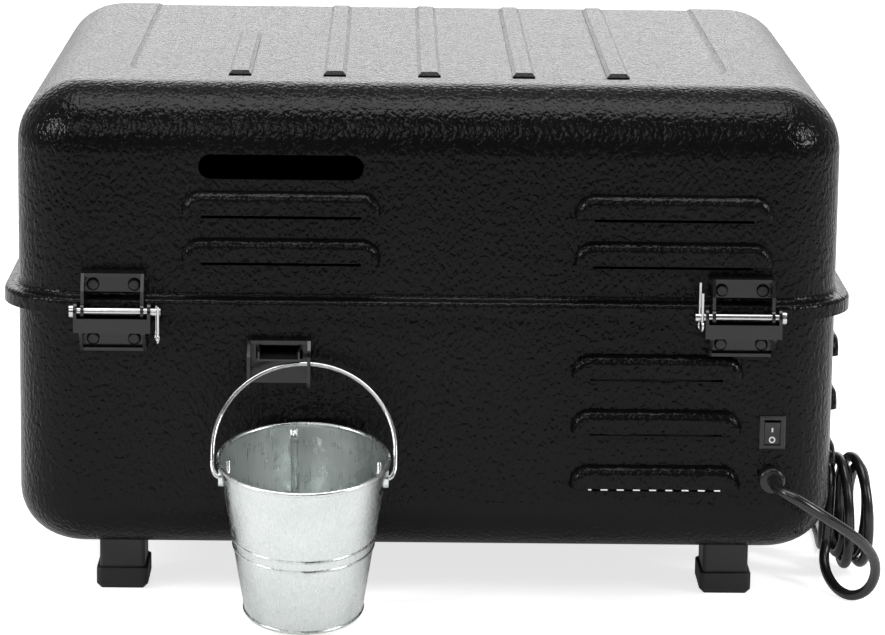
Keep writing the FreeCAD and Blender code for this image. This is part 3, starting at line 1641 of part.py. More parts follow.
def grease_bucket():
    """Rolled-rim sheet bucket with two bands, a raised floor and two pierced ears."""
    height = bucket_height
    slope = bucket_slope
    wall = bucket_wall
    outline = [
        Vector(0, 0, bucket_floor_lift),
        Vector(bucket_base_radius - wall, 0, bucket_floor_lift),
        Vector(bucket_base_radius - wall - slope * bucket_floor_lift, 0, 0),
        Vector(bucket_base_radius, 0, 0),
        Vector(bucket_rim_radius, 0, height),
        Vector(bucket_rim_radius - wall, 0, height),
        Vector(bucket_base_radius - wall + slope * (bucket_floor_lift + wall), 0,
               bucket_floor_lift + wall),
        Vector(0, 0, bucket_floor_lift + wall),
    ]
    face = Part.Face(Part.makePolygon(outline + [outline[0]]))
    shell = face.revolve(Vector(0, 0, 0), Vector(0, 0, 1), 360)
    axis = Vector(0, 0, 1)
    pieces = [
        shell,
        Part.makeTorus(bucket_rim_radius, bucket_bead_radius,
                       Vector(0, 0, height - bucket_bead_radius / 2), axis),
        Part.makeTorus(bucket_base_radius, bucket_band_radius,
                       Vector(0, 0, bucket_band_radius + bucket_foot_lift), axis),
    ]
    for level in bucket_bands:
        radius = bucket_base_radius + slope * level - wall / 2
        pieces.append(Part.makeTorus(radius, bucket_band_radius, Vector(0, 0, level), axis))
    pivot_z = height - bucket_pivot_drop
    inner = bucket_pivot_radius - 2 * wall
    for side in (-1, 1):
        ear = x_rod(side * inner, side * bucket_ear_face, 0, pivot_z, bucket_ear_radius)
        pieces.append(ear)
    bucket = fused(pieces)
    bucket = bucket.cut(bucket_inside(slope))
    for side in (-1, 1):
        bore = x_rod(side * (inner - wall), side * (bucket_ear_face + wall), 0, pivot_z,
                     bail_wire_radius + bail_fit)
        bucket = bucket.cut(bore)
    bucket = moved(bucket, 0, 0, -height)
    bucket = turned(bucket, Vector(0, 0, 0), Vector(1, 0, 0), bucket_tilt_deg)
    return moved(bucket, bucket_rim.x, bucket_rim.y, bucket_rim.z)


def bucket_inside(slope):
    """Space inside the bucket's wall, between its floor and the rolled rim."""
    low = bucket_floor_lift + bucket_wall
    high = bucket_height - 2 * bucket_bead_radius
    inner = bucket_base_radius - bucket_wall
    return Part.makeCone(inner + slope * low, inner + slope * high, high - low,
                         Vector(0, 0, low))


def bail_point(across, along):
    """Point in the bail's plane: across is X from the middle, along runs from pivot to apex."""
    rise = bail_apex.sub(bucket_pivot)
    rise.normalize()
    return Vector(bail_x + across, bucket_pivot.y, bucket_pivot.z).add(rise.multiply(along))


def bend(across, along, radius, start_deg, end_deg):
    """Bend in the bail's wire about a centre, between two angles from the across direction."""
    spots = []
    for angle_deg in (start_deg, (start_deg + end_deg) / 2, end_deg):
        angle = math.radians(angle_deg)
        spots.append(bail_point(across + radius * math.cos(angle),
                                along + radius * math.sin(angle)))
    return Part.Arc(*spots).toShape()


def bail_half(leg_length):
    """Right half of the bail's line, from the curl inside the bucket to the end of its leg."""
    lean = math.radians(bail_lean_deg)
    curl_x = bucket_pivot_radius - bucket_wall - bail_curl_in
    lean_x = bail_radius - bail_lean_radius
    foot_x = bail_radius - bail_lean_radius * (1 - math.cos(lean))
    foot_x -= bail_foot_radius * math.cos(lean)
    lean_z = bail_foot_radius * (1 - math.sin(lean)) + bail_lean_radius * math.sin(lean)
    tip = bail_point(curl_x, bail_curl_radius + bail_curl_tail)
    curl_end = bail_point(curl_x, bail_curl_radius)
    stub_in = bail_point(curl_x + bail_curl_radius, 0)
    stub_out = bail_point(foot_x, 0)
    return [
        Part.makeLine(tip, curl_end),
        bend(curl_x + bail_curl_radius, bail_curl_radius, bail_curl_radius, 180, 270),
        Part.makeLine(stub_in, stub_out),
        bend(foot_x, bail_foot_radius, bail_foot_radius, 270, 360 - bail_lean_deg),
        bend(lean_x, lean_z, bail_lean_radius, 360 - bail_lean_deg, 360),
        Part.makeLine(bail_point(bail_radius, lean_z), bail_point(bail_radius, leg_length)),
    ]


def bucket_bail():
    """Bent wire: curled stubs through the ears, legs, and a half-round arch to the hook."""
    reach = bail_apex.sub(bucket_pivot).Length
    leg_length = reach - bail_radius
    middle = Vector(bail_x, 0, 0)
    right = bail_half(leg_length)
    left = [edge.mirror(middle, Vector(1, 0, 0)) for edge in right]
    arch = bend(0, leg_length, bail_radius, 0, 180)
    line = Part.Wire(Part.__sortEdges__(right + [arch] + left))
    tip = bail_point(bucket_pivot_radius - bucket_wall - bail_curl_in,
                     bail_curl_radius + bail_curl_tail)
    rise = bail_apex.sub(bucket_pivot)
    section = Part.Wire(Part.makeCircle(bail_wire_radius, tip, rise))
    return line.makePipeShell([section], True, True)


# Switch and cord entry


rocker_pivot_y = rear_y + rocker_pivot_depth


def corner_sag(x):
    """How far the rear wall has curved away at an X position near its corner."""
    past = max(0.0, x - (half_width - wall_corner_radius))
    return wall_corner_radius - math.sqrt(wall_corner_radius ** 2 - past ** 2)


def on_rear_wall(shape):
    """Trim a piece that seats on the rear wall, so that it follows the wall's corner."""
    return shape.cut(body_block(0, base_bottom_z, base_flange_top_z))


def switch_bezel():
    """Switch housing: a frame on the wall and a body behind it, hollow round the rocker."""
    seat_y = rear_y + corner_sag(switch_x + bezel_width / 2)
    frame = box(switch_x - bezel_width / 2, switch_x + bezel_width / 2,
                rear_y - bezel_out, seat_y, switch_z - bezel_rise / 2, switch_z + bezel_rise / 2)
    frame = frame.makeFillet(1.0, [
        edge for edge in frame.Edges if edge.BoundBox.YMax < rear_y - bezel_out + 0.01
    ])
    frame = on_rear_wall(frame)
    body = box(switch_x - switch_body_width / 2, switch_x + switch_body_width / 2,
               rear_y, rear_y + switch_body_depth,
               switch_z - switch_body_height / 2, switch_z + switch_body_height / 2)
    half_x = rocker_width / 2 + rocker_gap
    half_z = rocker_height / 2 + 2 * rocker_gap
    well = box(switch_x - half_x, switch_x + half_x,
               rear_y - bezel_out - 1, rocker_pivot_y + rocker_depth + 2 * rocker_gap,
               switch_z - half_z, switch_z + half_z)
    reach = rocker_width / 2 + rocker_axle_reach + 2 * running_clearance
    axle = x_rod(switch_x - reach, switch_x + reach, rocker_pivot_y, switch_z,
                 rocker_axle_radius + running_clearance)
    return fused([frame, body]).cut(well).cut(axle)


def switch_rocker():
    """Rocker with two faces that meet in a shallow valley, its lower end pressed in."""
    half = rocker_height / 2 - rocker_gap
    low_half = half - 1.3
    outline = [
        (rocker_pivot_y - rocker_rise, switch_z + half),
        (rocker_pivot_y - rocker_rise + rocker_valley, switch_z),
        (rocker_pivot_y - rocker_rise, switch_z - half),
        (rocker_pivot_y + 1.5, switch_z - low_half),
        (rocker_pivot_y + rocker_depth, switch_z),
        (rocker_pivot_y + 1.5, switch_z + low_half),
    ]
    key = side_plate(outline, switch_x - rocker_width / 2, switch_x + rocker_width / 2)
    reach = rocker_width / 2 + rocker_axle_reach
    axle = x_rod(switch_x - reach, switch_x + reach, rocker_pivot_y, switch_z,
                 rocker_axle_radius)
    rocker = fused([key, axle])
    pivot = Vector(switch_x, rocker_pivot_y, switch_z)
    return turned(rocker, pivot, Vector(1, 0, 0), rocker_swing_deg / 2)


def cord_bushing():
    """Strain relief: a domed collar on the wall, a neck through it and a nut behind."""
    sag = corner_sag(gland_x + gland_radius)
    collar = y_rod(rear_y - gland_out, rear_y + sag, gland_x, gland_z, gland_radius)
    collar = collar.makeFillet(gland_edge_radius, [
        edge for edge in collar.Edges if edge.BoundBox.YMax < rear_y - gland_out + 0.01
    ])
    collar = on_rear_wall(collar)
    nut_y = rear_y + sheet + sag + fit_gap
    neck = y_rod(rear_y, rear_y + sheet + gland_inside, gland_x, gland_z, gland_neck_radius)
    nut = y_rod(nut_y, nut_y + gland_nut, gland_x, gland_z, gland_radius)
    bore = y_rod(rear_y - gland_out + 2.0, rear_y + sheet + gland_inside + 1, gland_x, gland_z,
                 cord_radius + 0.4)
    mouth = y_rod(rear_y - gland_out - 1, rear_y - gland_out + 2.0, gland_x, gland_z,
                  cord_radius)
    return fused([collar, neck, nut]).cut(bore).cut(mouth)


# Cord, its hank and its plug


def route_points(route):
    """Turn route points, measured from the right and rear walls and the floor, into places."""
    return [Vector(half_width + outward, rear_y + inward, z) for outward, inward, z in route]


def smooth_route(points):
    """Straight runs joined by tangent arcs, each as large as its two runs allow."""
    edges = []
    radii = []
    length = 0.0
    start = points[0]
    for before, corner, after in zip(points, points[1:], points[2:]):
        back = before.sub(corner)
        ahead = after.sub(corner)
        reach = arc_share * min(back.Length, ahead.Length)
        back.normalize()
        ahead.normalize()
        half_turn = (math.pi - back.getAngle(ahead)) / 2
        radius = reach / math.tan(half_turn)
        enter = corner.add(Vector(back).multiply(reach))
        leave = corner.add(Vector(ahead).multiply(reach))
        toward = back.add(ahead)
        toward.normalize()
        middle = corner.add(toward.multiply(radius / math.cos(half_turn) - radius))
        edges.append(Part.LineSegment(start, enter).toShape())
        edges.append(Part.Arc(enter, middle, leave).toShape())
        length += enter.sub(start).Length + 2 * half_turn * radius
        radii.append(radius)
        start = leave
    edges.append(Part.LineSegment(start, points[-1]).toShape())
    length += points[-1].sub(start).Length
    return edges, length, radii


def tube_along(name, edges, length, radii):
    """Round cord along a path, with its volume set against its section times its length."""
    start = edges[0].valueAt(edges[0].FirstParameter)
    direction = edges[0].tangentAt(edges[0].FirstParameter)
    section = Part.Wire(Part.makeCircle(cord_radius, start, direction))
    solid = Part.Wire(edges).makePipeShell([section], True, False)
    share = solid.Volume / (math.pi * cord_radius ** 2 * length)
    print(name, "length", round(length, 1), "volume share", round(share, 4),
          "least radius", round(min(radii), 1))
    return solid


def hank_layer(turn):
    """How many layers out from the wall the loops lie: out at a steady rate, then back."""
    swing = math.hypot(turn - hank_middle_turn, hank_ease)
    return math.hypot(hank_middle_turn, hank_ease) - swing


def hank_point(turn):
    """Place along the hank's loops: small loops going out from the wall, larger coming back."""
    grown = min(1.0, max(0.0, turn - hank_middle_turn + 0.5))
    grown = grown * grown * (3 - 2 * grown)
    angle = 2 * math.pi * turn
    across = -(hank_half_width + hank_growth * grown) * math.cos(angle)
    up = (hank_half_height + hank_height_growth * grown) * math.sin(angle)
    layer = hank_layer(turn)
    yaw = math.radians(hank_yaw_deg * layer)
    hub = hank_half_width + hank_growth
    return Vector(
        hank_x + hank_pitch * layer + (hub - across) * math.sin(yaw),
        rear_y + hank_from_rear + hub - (hub - across) * math.cos(yaw),
        hank_z + up,
    )


def hank_heading(turn):
    step = 0.001
    heading = hank_point(turn + step).sub(hank_point(turn - step))
    heading.normalize()
    return heading


def hank_end(turn, outward, further=0.0):
    """End of the straight run that leaves the hank's loops at a turn, or a place beyond it."""
    run = outward * (hank_end_run + further)
    return hank_point(turn).add(hank_heading(turn).multiply(run))


def arc_from(start, heading, reach, end):
    """Arc that leaves a point along a heading and ends at another, with its radius."""
    corner = start.add(Vector(heading).multiply(reach))
    middle = start.add(end).multiply(0.5)
    half_chord = end.sub(start).Length / 2
    rise = corner.sub(middle)
    turn = math.atan2(rise.Length, half_chord)
    rise.normalize()
    crown = middle.add(rise.multiply(half_chord * math.tan(turn / 2)))
    radius = half_chord / math.sin(turn)
    return Part.Arc(start, crown, end).toShape(), radius, 2 * turn * radius


def biarc(start, heading_in, end, heading_out):
    """Two tangent arcs between two points with given headings."""
    gap = end.sub(start)
    both = heading_in.add(heading_out)
    flat = 2 * (1 - heading_in.dot(heading_out))
    along = gap.dot(both)
    reach = (math.sqrt(along ** 2 + flat * gap.dot(gap)) - along) / flat
    inner = start.add(Vector(heading_in).multiply(reach))
    outer = end.sub(Vector(heading_out).multiply(reach))
    joint = inner.add(outer).multiply(0.5)
    middle_heading = outer.sub(inner)
    middle_heading.normalize()
    first = arc_from(start, heading_in, reach, joint)
    second = arc_from(joint, middle_heading, reach, end)
    return [first, second]


def cord_hank():
    """Loose bundle of loops, one unbroken tube, standing against the side wall."""
    steps = int(round(hank_turns * 4))
    start = hank_end(0, -1)
    edges = [Part.LineSegment(start, hank_point(0)).toShape()]
    radii = []
    length = 2 * hank_end_run
    for index in range(steps):
        here = index * hank_turns / steps
        there = (index + 1) * hank_turns / steps
        for edge, radius, arc_length in biarc(
            hank_point(here), hank_heading(here), hank_point(there), hank_heading(there)
        ):
            edges.append(edge)
            radii.append(radius)
            length += arc_length
    edges.append(Part.LineSegment(hank_point(hank_turns), hank_end(hank_turns, 1)).toShape())
    solid = tube_along("hank", edges, length, radii)
    print("hank least gap to itself", round(least_gap(edges), 2))
    return solid


def least_gap(edges):
    """Least clear space between stretches of the tube that lie apart along it."""
    spots = []
    travelled = 0.0
    for edge in edges:
        count = 12
        for index in range(count):
            share = index / count
            spot = edge.valueAt(
                edge.FirstParameter + share * (edge.LastParameter - edge.FirstParameter)
            )
            spots.append((travelled + share * edge.Length, spot))
        travelled += edge.Length
    least = travelled
    for place, spot in spots:
        for other_place, other in spots:
            if other_place - place > 8 * cord_radius:
                least = min(least, spot.distanceToPoint(other))
    return least - 2 * cord_radius


def cord_lead():
    """Stretch of cord from the bushing, down in a loop on the floor, to the hank."""
    joined = [hank_end(0, -1, cord_join_run), hank_end(0, -1)]
    points = route_points(cord_lead_route) + joined
    return tube_along("lead", *smooth_route(points))


def plug_entry():
    return Vector(plug_x, rear_y + plug_from_rear, plug_height / 2)


def cord_tail():
    """Stretch of cord from the hank along the floor to the plug."""
    joined = [hank_end(hank_turns, 1), hank_end(hank_turns, 1, cord_join_run)]
    points = joined + route_points(cord_tail_route) + [plug_entry()]
    return tube_along("tail", *smooth_route(points))


def plug():
    """Moulded earthed plug with a ribbed strain relief, lying on its side."""
    entry = plug_entry()
    relief_end = entry.y + plug_relief_length
    neck_end = relief_end + plug_neck_length
    face_y = neck_end + plug_body_length
    ahead = Vector(0, 1, 0)
    relief = Part.makeCone(plug_relief_tip_radius, plug_relief_radius, plug_relief_length,
                           entry, ahead)
    neck = Part.makeCone(plug_neck_radius, plug_height / 2, plug_neck_length,
                         Vector(entry.x, relief_end, entry.z), ahead)
    body = box(plug_x - plug_width / 2, plug_x + plug_width / 2, neck_end, face_y,
               0, plug_height)
    long_edges = [edge for edge in body.Edges if edge.BoundBox.YLength > plug_body_length / 2]
    body = body.makeFillet(plug_corner_radius, long_edges)
    face_edges = [edge for edge in body.Edges if edge.BoundBox.YMin > face_y - 0.01]
    body = body.makeFillet(1.0, face_edges)
    whole = fused([relief, neck, body])
    for index in range(4):
        y = entry.y + relief_groove_pitch * (index + 1)
        ring = tube(
            y_rod(y, y + relief_groove, entry.x, entry.z, plug_relief_radius + 1),
            y_rod(y, y + relief_groove, entry.x, entry.z, plug_relief_tip_radius - 0.6),
        )
        rib = box(entry.x - relief_rib / 2, entry.x + relief_rib / 2, y, y + relief_groove,
                  entry.z - plug_height, entry.z + plug_height)
        whole = whole.cut(ring.cut(rib))
    for prong in plug_prongs():
        whole = whole.cut(prong)
    return whole


def plug_prongs():
    """Two flat blades and a round earth pin, set into the plug's face."""
    entry = plug_entry()
    face_y = entry.y + plug_relief_length + plug_neck_length + plug_body_length
    blade_x = plug_x - earth_pin_offset / 2
    pin_x = plug_x + earth_pin_offset / 2
    prongs = []
    for side in (-1, 1):
        z = entry.z + side * blade_spacing / 2
        blade = box(blade_x - blade_width / 2, blade_x + blade_width / 2,
                    face_y - blade_sink, face_y + blade_length,
                    z - blade_thickness / 2, z + blade_thickness / 2)
        tips = [
            edge for edge in blade.Edges
            if edge.BoundBox.YMin > face_y + blade_length - 0.01
            and edge.BoundBox.ZLength > blade_thickness / 2
        ]
        prongs.append(blade.makeChamfer(1.0, tips))
    pin = y_rod(face_y - blade_sink, face_y + earth_pin_length, pin_x, entry.z,
                earth_pin_radius)
    tip = [edge for edge in pin.Edges if edge.BoundBox.YMin > face_y + earth_pin_length - 0.01]
    prongs.append(pin.makeFillet(earth_pin_radius * 0.6, tip))
    return prongs


# Front latches


def latch_screw_places():
    places = []
    for side in (-1, 1):
        for offset in (-7.0, 7.0):
            places.append((side * latch_x + offset, front_y, latch_pivot_z - 14.0))
    return places


def keeper_screw_places():
    places = []
    for side in (-1, 1):
        for offset in (-6.0, 6.0):
            places.append((side * latch_x + offset, front_y, lid_flange_top_z + keeper_screw_rise))
    return places


def latch_bracket(x):
    """Bracket on the base's front wall with two ears for the latch pin."""
    half = latch_width / 2 + latch_plate + latch_ear_gap
    z0 = latch_pivot_z - 20.0
    z1 = latch_pivot_z + 6.0
    back = box(x - half, x + half, front_y, front_y + latch_plate, z0, z1)
    pieces = [back]
    ear_outline = [
        (front_y, z1),
        (front_y + latch_pivot_out, latch_pivot_z + 3.0),
        (front_y + latch_pivot_out, latch_pivot_z - 3.0),
        (front_y, latch_pivot_z - 8.0),
    ]
    for x0 in (x - half, x + half - latch_plate):
        pieces.append(side_plate(ear_outline, x0, x0 + latch_plate))
        pieces.append(x_rod(x0, x0 + latch_plate, front_y + latch_pivot_out, latch_pivot_z,
                            latch_boss_radius))
    bracket = fused(pieces)
    bore = x_rod(x - half - 1, x + half + 1, front_y + latch_pivot_out, latch_pivot_z,
                 latch_pin_radius + running_clearance)
    bracket = bracket.cut(bore)
    return screw_holes(bracket, latch_screw_places(), 2 * latch_plate)


def latch_lever(x):
    """Clasp on the base: a strap with a hook for the keeper and a finger tab, hanging open."""
    half = latch_width / 2
    plate = latch_plate
    y = front_y + latch_pivot_out
    under = keeper_top_z + fit_gap
    top = under + plate
    outline = [
        (y - latch_strap_in, latch_pivot_z),
        (y - latch_strap_in, under),
        (y - latch_hook_in, under),
        (y - latch_hook_in, top),
        (y - latch_strap_in + plate, top),
        (y + latch_tab_out, top + latch_tab_rise),
        (y + latch_tab_out, top + latch_tab_rise - plate),
        (y - latch_strap_in + plate, top - plate),
        (y - latch_strap_in + plate, latch_pivot_z),
    ]
    strap = side_plate(outline, x - half, x + half)
    barrel = x_rod(x - half, x + half, y, latch_pivot_z, latch_boss_radius - fit_gap)
    pin_half = half + latch_ear_gap + plate + 1.0
    pin = x_rod(x - pin_half, x + pin_half, y, latch_pivot_z, latch_pin_radius)
    closed = fused([strap, barrel, pin])
    return turned(closed, Vector(x, y, latch_pivot_z), Vector(1, 0, 0), latch_open_deg)


def latch_keeper(x):
    """Keeper on the lid: a plate on the wall and a shelf over the flange for the hook."""
    plate = latch_plate
    root_z = lid_flange_top_z + lid_flange_fillet + fit_gap
    outline = [
        (front_y, root_z),
        (front_y, root_z + keeper_rise),
        (front_y + plate, root_z + keeper_rise),
        (front_y + plate, keeper_top_z),
        (front_y + keeper_out, keeper_top_z),
        (front_y + keeper_out, keeper_top_z - plate),
        (front_y + plate, keeper_top_z - plate),
    ]
    keeper = side_plate(outline, x - keeper_width / 2, x + keeper_width / 2)
    return screw_holes(keeper, keeper_screw_places(), 2 * plate)


def build():
    os.makedirs("parts", exist_ok=True)
    sides = (("left", -1), ("right", 1))
    save("lid_shell", lid_shell())
    save("lid_gasket", lid_gasket())
    save("base_shell", base_shell())
    save("hinge_lid_brackets", [lid_bracket(side * hinge_x) for name, side in sides])
    save("hinge_base_brackets", [base_bracket(side * hinge_x) for name, side in sides])
    for name, side in sides:
        save("hinge_pin_" + name, hinge_pin(side))
    save("hinge_clip_left", hinge_clip(-1, clip_left_eye_drop, clip_left_tail, clip_left_tail))
    save("hinge_clip_right",
         hinge_clip(1, clip_right_eye_drop, clip_right_tail, clip_right_outer_tail))
    rear_lid_screws = [wall_screw(*place, hinge_plate, -1) for place in lid_screw_places()]
    keeper_screws = [wall_screw(*place, latch_plate, 1) for place in keeper_screw_places()]
    save("lid_screws", rear_lid_screws + keeper_screws)
    rear_base_screws = [wall_screw(*place, hinge_plate, -1) for place in base_screw_places()]
    latch_screws = [wall_screw(*place, latch_plate, 1) for place in latch_screw_places()]
    leg_screws = [leg_screw(x, y) for x, y in leg_places()]
    save("base_screws", rear_base_screws + latch_screws + leg_screws)
    corners = ("rear_left", "rear_right", "front_left", "front_right")
    for corner, (x, y) in zip(corners, leg_places()):
        save("leg_" + corner, leg(x, y))
        save("boot_" + corner, boot(x, y))
    save("partition_wall", partition_wall())
    save("side_rail_left", side_rail(chamber_left_x, 1))
    save("side_rail_right", side_rail(chamber_right_x, -1))
    save("cooking_grate", cooking_grate())
    save("drip_tray", drip_tray())
    save("heat_baffle", heat_baffle())
    save("fire_pot", fire_pot())
    save("igniter_rod", igniter_rod())
    save("auger_tube", auger_tube())
    save("auger_screw", auger_screw())
    save("auger_motor", auger_motor())
    save("hopper", hopper())
    save("hopper_guard", hopper_guard())
    save("hopper_lid", hopper_lid())
    save("hopper_lid_hinge", hopper_lid_hinge())
    save("control_deck", control_deck())
    save("controller_box", controller_box())
    save("display_window", display_window())
    save("control_knob", control_knob())
    for name, place in zip(("left", "right"), button_places):
        save("button_" + name, push_button(*place))
    save("probe_jack", probe_jack())
    save("temp_probe", temp_probe())
    save("blower_housing", blower_housing())
    save("blower_motor", blower_motor())
    save("blower_rotor", blower_rotor())
    save("drain_bracket", drain_bracket())
    save("grease_bucket", grease_bucket())
    save("bucket_bail", bucket_bail())
    save("switch_bezel", switch_bezel())
    save("switch_rocker", switch_rocker())
    save("cord_bushing", cord_bushing())
    save("cord_lead", cord_lead())
    save("cord_hank", cord_hank())
    save("cord_tail", cord_tail())
    save("plug", plug())
    save("plug_prongs", plug_prongs())
    for name, side in sides:
        save("latch_" + name, latch_lever(side * latch_x))
    save("latch_brackets", [latch_bracket(side * latch_x) for name, side in sides])
    save("latch_keepers", [latch_keeper(side * latch_x) for name, side in sides])


if __name__ == "__main__":
    build()
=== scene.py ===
import json
import math

import bmesh
import bpy
from mathutils import Matrix, Vector


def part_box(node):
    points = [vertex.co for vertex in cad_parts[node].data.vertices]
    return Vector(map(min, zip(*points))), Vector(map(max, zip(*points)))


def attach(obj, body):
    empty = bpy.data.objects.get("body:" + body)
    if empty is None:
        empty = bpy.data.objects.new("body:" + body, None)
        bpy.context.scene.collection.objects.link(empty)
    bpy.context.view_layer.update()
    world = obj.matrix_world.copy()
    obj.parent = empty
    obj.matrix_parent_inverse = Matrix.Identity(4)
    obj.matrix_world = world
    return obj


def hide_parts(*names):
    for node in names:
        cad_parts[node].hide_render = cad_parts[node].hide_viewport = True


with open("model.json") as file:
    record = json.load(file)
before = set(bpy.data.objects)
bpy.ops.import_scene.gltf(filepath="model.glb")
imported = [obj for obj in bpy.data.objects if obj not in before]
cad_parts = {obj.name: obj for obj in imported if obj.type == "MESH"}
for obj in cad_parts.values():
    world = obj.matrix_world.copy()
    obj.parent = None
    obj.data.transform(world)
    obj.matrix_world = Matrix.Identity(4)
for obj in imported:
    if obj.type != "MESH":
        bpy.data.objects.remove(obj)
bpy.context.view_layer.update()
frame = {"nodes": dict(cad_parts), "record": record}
nodes = frame["nodes"]

MM = 0.001

# Places that the looks share with the CAD model. Sizes in capitals are in millimetres, as they are
# there, up to the stage. Places that are worked out from the frame are in metres.

BODY_DEPTH = 455.0
RIM_OVERHANG = 9.0

lid_low, lid_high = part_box("lid_shell")
centre_y = (lid_low.y + lid_high.y) / 2
rear_y = centre_y - BODY_DEPTH / 2 * MM
side_x = lid_high.x - RIM_OVERHANG * MM


# Camera, fitted to the photograph

CAMERA_PITCH = 11.79
CAMERA_YAW = 0.86
CAMERA_ROLL = -0.74
CAMERA_X = -26.2
CAMERA_BEHIND = 2574.9
CAMERA_Z = 679.1
FOCAL_LENGTH_PX = 3860.6
PHOTO_WIDTH_PX = 885
SENSOR_WIDTH = 36


def photo_camera():
    pitch = math.radians(CAMERA_PITCH)
    yaw = math.radians(CAMERA_YAW)
    roll = math.radians(CAMERA_ROLL)
    ahead = Vector((math.sin(yaw) * math.cos(pitch), math.cos(yaw) * math.cos(pitch),
                    -math.sin(pitch)))
    level = Vector((math.cos(yaw), -math.sin(yaw), 0))
    down = ahead.cross(level)
    right = math.cos(roll) * level + math.sin(roll) * down
    image_down = -math.sin(roll) * level + math.cos(roll) * down
    data = bpy.data.cameras.new("photo_camera")
    data.sensor_width = SENSOR_WIDTH
    data.lens = FOCAL_LENGTH_PX / PHOTO_WIDTH_PX * SENSOR_WIDTH
    data.clip_start = 0.05
    data.clip_end = 60
    camera = bpy.data.objects.new("photo_camera", data)
    bpy.context.scene.collection.objects.link(camera)
    turn = Matrix((right, -image_down, -ahead)).transposed().to_4x4()
    place = Vector((CAMERA_X * MM, centre_y - CAMERA_BEHIND * MM, CAMERA_Z * MM))
    camera.matrix_world = Matrix.Translation(place) @ turn
    bpy.context.scene.camera = camera


# Material nodes

class Nodes:
    """A material's node tree with one Principled shader, and short ways to feed it."""

    def __init__(self, name, **sockets):
        self.material = bpy.data.materials.new(name)
        self.material.use_nodes = True
        self.tree = self.material.node_tree
        self.tree.nodes.clear()
        self.output = self.tree.nodes.new("ShaderNodeOutputMaterial")
        self.shader = self.tree.nodes.new("ShaderNodeBsdfPrincipled")
        self.link(self.shader.outputs[0], self.output.inputs["Surface"])
        self.place = self.tree.nodes.new("ShaderNodeTexCoord").outputs["Object"]
        for key, value in sockets.items():
            self.shader.inputs[key.replace("_", " ")].default_value = value

    def link(self, source, target):
        self.tree.links.new(source, target)

    def new(self, kind, **settings):
        node = self.tree.nodes.new(kind)
        for key, value in settings.items():
            setattr(node, key, value)
        return node

    def stretched(self, x, y, z):
        node = self.new("ShaderNodeMapping")
        self.link(self.place, node.inputs["Vector"])
        node.inputs["Scale"].default_value = (x, y, z)
        return node.outputs[0]

    def noise(self, scale, detail=2.0, rough=0.5, distort=0.0, place=None):
        node = self.new("ShaderNodeTexNoise")
        self.link(place or self.place, node.inputs["Vector"])
        node.inputs["Scale"].default_value = scale
        node.inputs["Detail"].default_value = detail
        node.inputs["Roughness"].default_value = rough
        node.inputs["Distortion"].default_value = distort
        return node.outputs[0]

    def cells(self, scale, feature="F1", output=0, place=None):
        node = self.new("ShaderNodeTexVoronoi", feature=feature)
        self.link(place or self.place, node.inputs["Vector"])
        node.inputs["Scale"].default_value = scale
        return node.outputs[output]

    def wave(self, scale, direction, distort=0.0, place=None):
        node = self.new("ShaderNodeTexWave", bands_direction=direction)
        self.link(place or self.place, node.inputs["Vector"])
        node.inputs["Scale"].default_value = scale
        node.inputs["Distortion"].default_value = distort
        return node.outputs["Fac"]

    def span(self, value, low, high, to_low, to_high):
        node = self.new("ShaderNodeMapRange")
        self.link(value, node.inputs["Value"])
        for key, number in zip(("From Min", "From Max", "To Min", "To Max"),
                               (low, high, to_low, to_high)):
            node.inputs[key].default_value = number
        return node.outputs[0]

    def maths(self, operation, first, second):
        node = self.new("ShaderNodeMath", operation=operation)
        for index, value in enumerate((first, second)):
            if isinstance(value, (int, float)):
                node.inputs[index].default_value = value
            else:
                self.link(value, node.inputs[index])
        return node.outputs[0]

    def colours(self, share, *stops):
        node = self.new("ShaderNodeValToRGB")
        self.link(share, node.inputs[0])
        ramp = node.color_ramp
        while len(ramp.elements) < len(stops):
            ramp.elements.new(0.5)
        for element, (at, colour) in zip(ramp.elements, stops):
            element.position = at
            element.color = (*colour, 1)
        return node.outputs[0]

    def bump(self, height, strength, distance, under=None):
        node = self.new("ShaderNodeBump")
        node.inputs["Strength"].default_value = strength
        node.inputs["Distance"].default_value = distance
        self.link(height, node.inputs["Height"])
        if under is not None:
            self.link(under, node.inputs["Normal"])
        return node.outputs[0]

    def feed(self, colour=None, roughness=None, normal=None, metallic=None):
        for key, value in (("Base Color", colour), ("Roughness", roughness),
                           ("Normal", normal), ("Metallic", metallic)):
            if value is not None:
                self.link(value, self.shader.inputs[key])
        return self.material


def grey(value, warm=0.0):
    return (value * (1 + warm), value, value * (1 - warm))


def powder_coat():
    """Semi-gloss black with the close, leathery grain of textured powder coat."""
    m = Nodes("powder_coat", Metallic=0.0, Specular_IOR_Level=0.13)
    grain = m.noise(400, 1.5, 0.5, 0.3, m.stretched(1.0, 1.0, 0.65))
    fine = m.noise(1300, 1.0, 0.5)
    drift = m.noise(9, 3.0)
    colour = m.colours(drift, (0.3, grey(0.0024, 0.03)), (0.7, grey(0.0042, 0.02)))
    both = m.maths("ADD", m.maths("MULTIPLY", grain, 0.7), m.maths("MULTIPLY", drift, 0.3))
    rough = m.span(both, 0.3, 0.7, 0.11, 0.21)
    normal = m.bump(fine, 0.2, 0.00012)
    normal = m.bump(grain, 0.9, 0.0009, normal)
    return m.feed(colour, rough, normal)


def satin_paint(name, value, low, high, scale=700, strength=0.12):
    m = Nodes(name, Metallic=0.0, Specular_IOR_Level=0.5)
    skin = m.noise(scale, 2.0)
    drift = m.noise(30, 3.0)
    colour = m.colours(drift, (0.3, grey(value * 0.8)), (0.7, grey(value * 1.2)))
    return m.feed(colour, m.span(drift, 0.3, 0.7, low, high), m.bump(skin, strength, 0.0002))


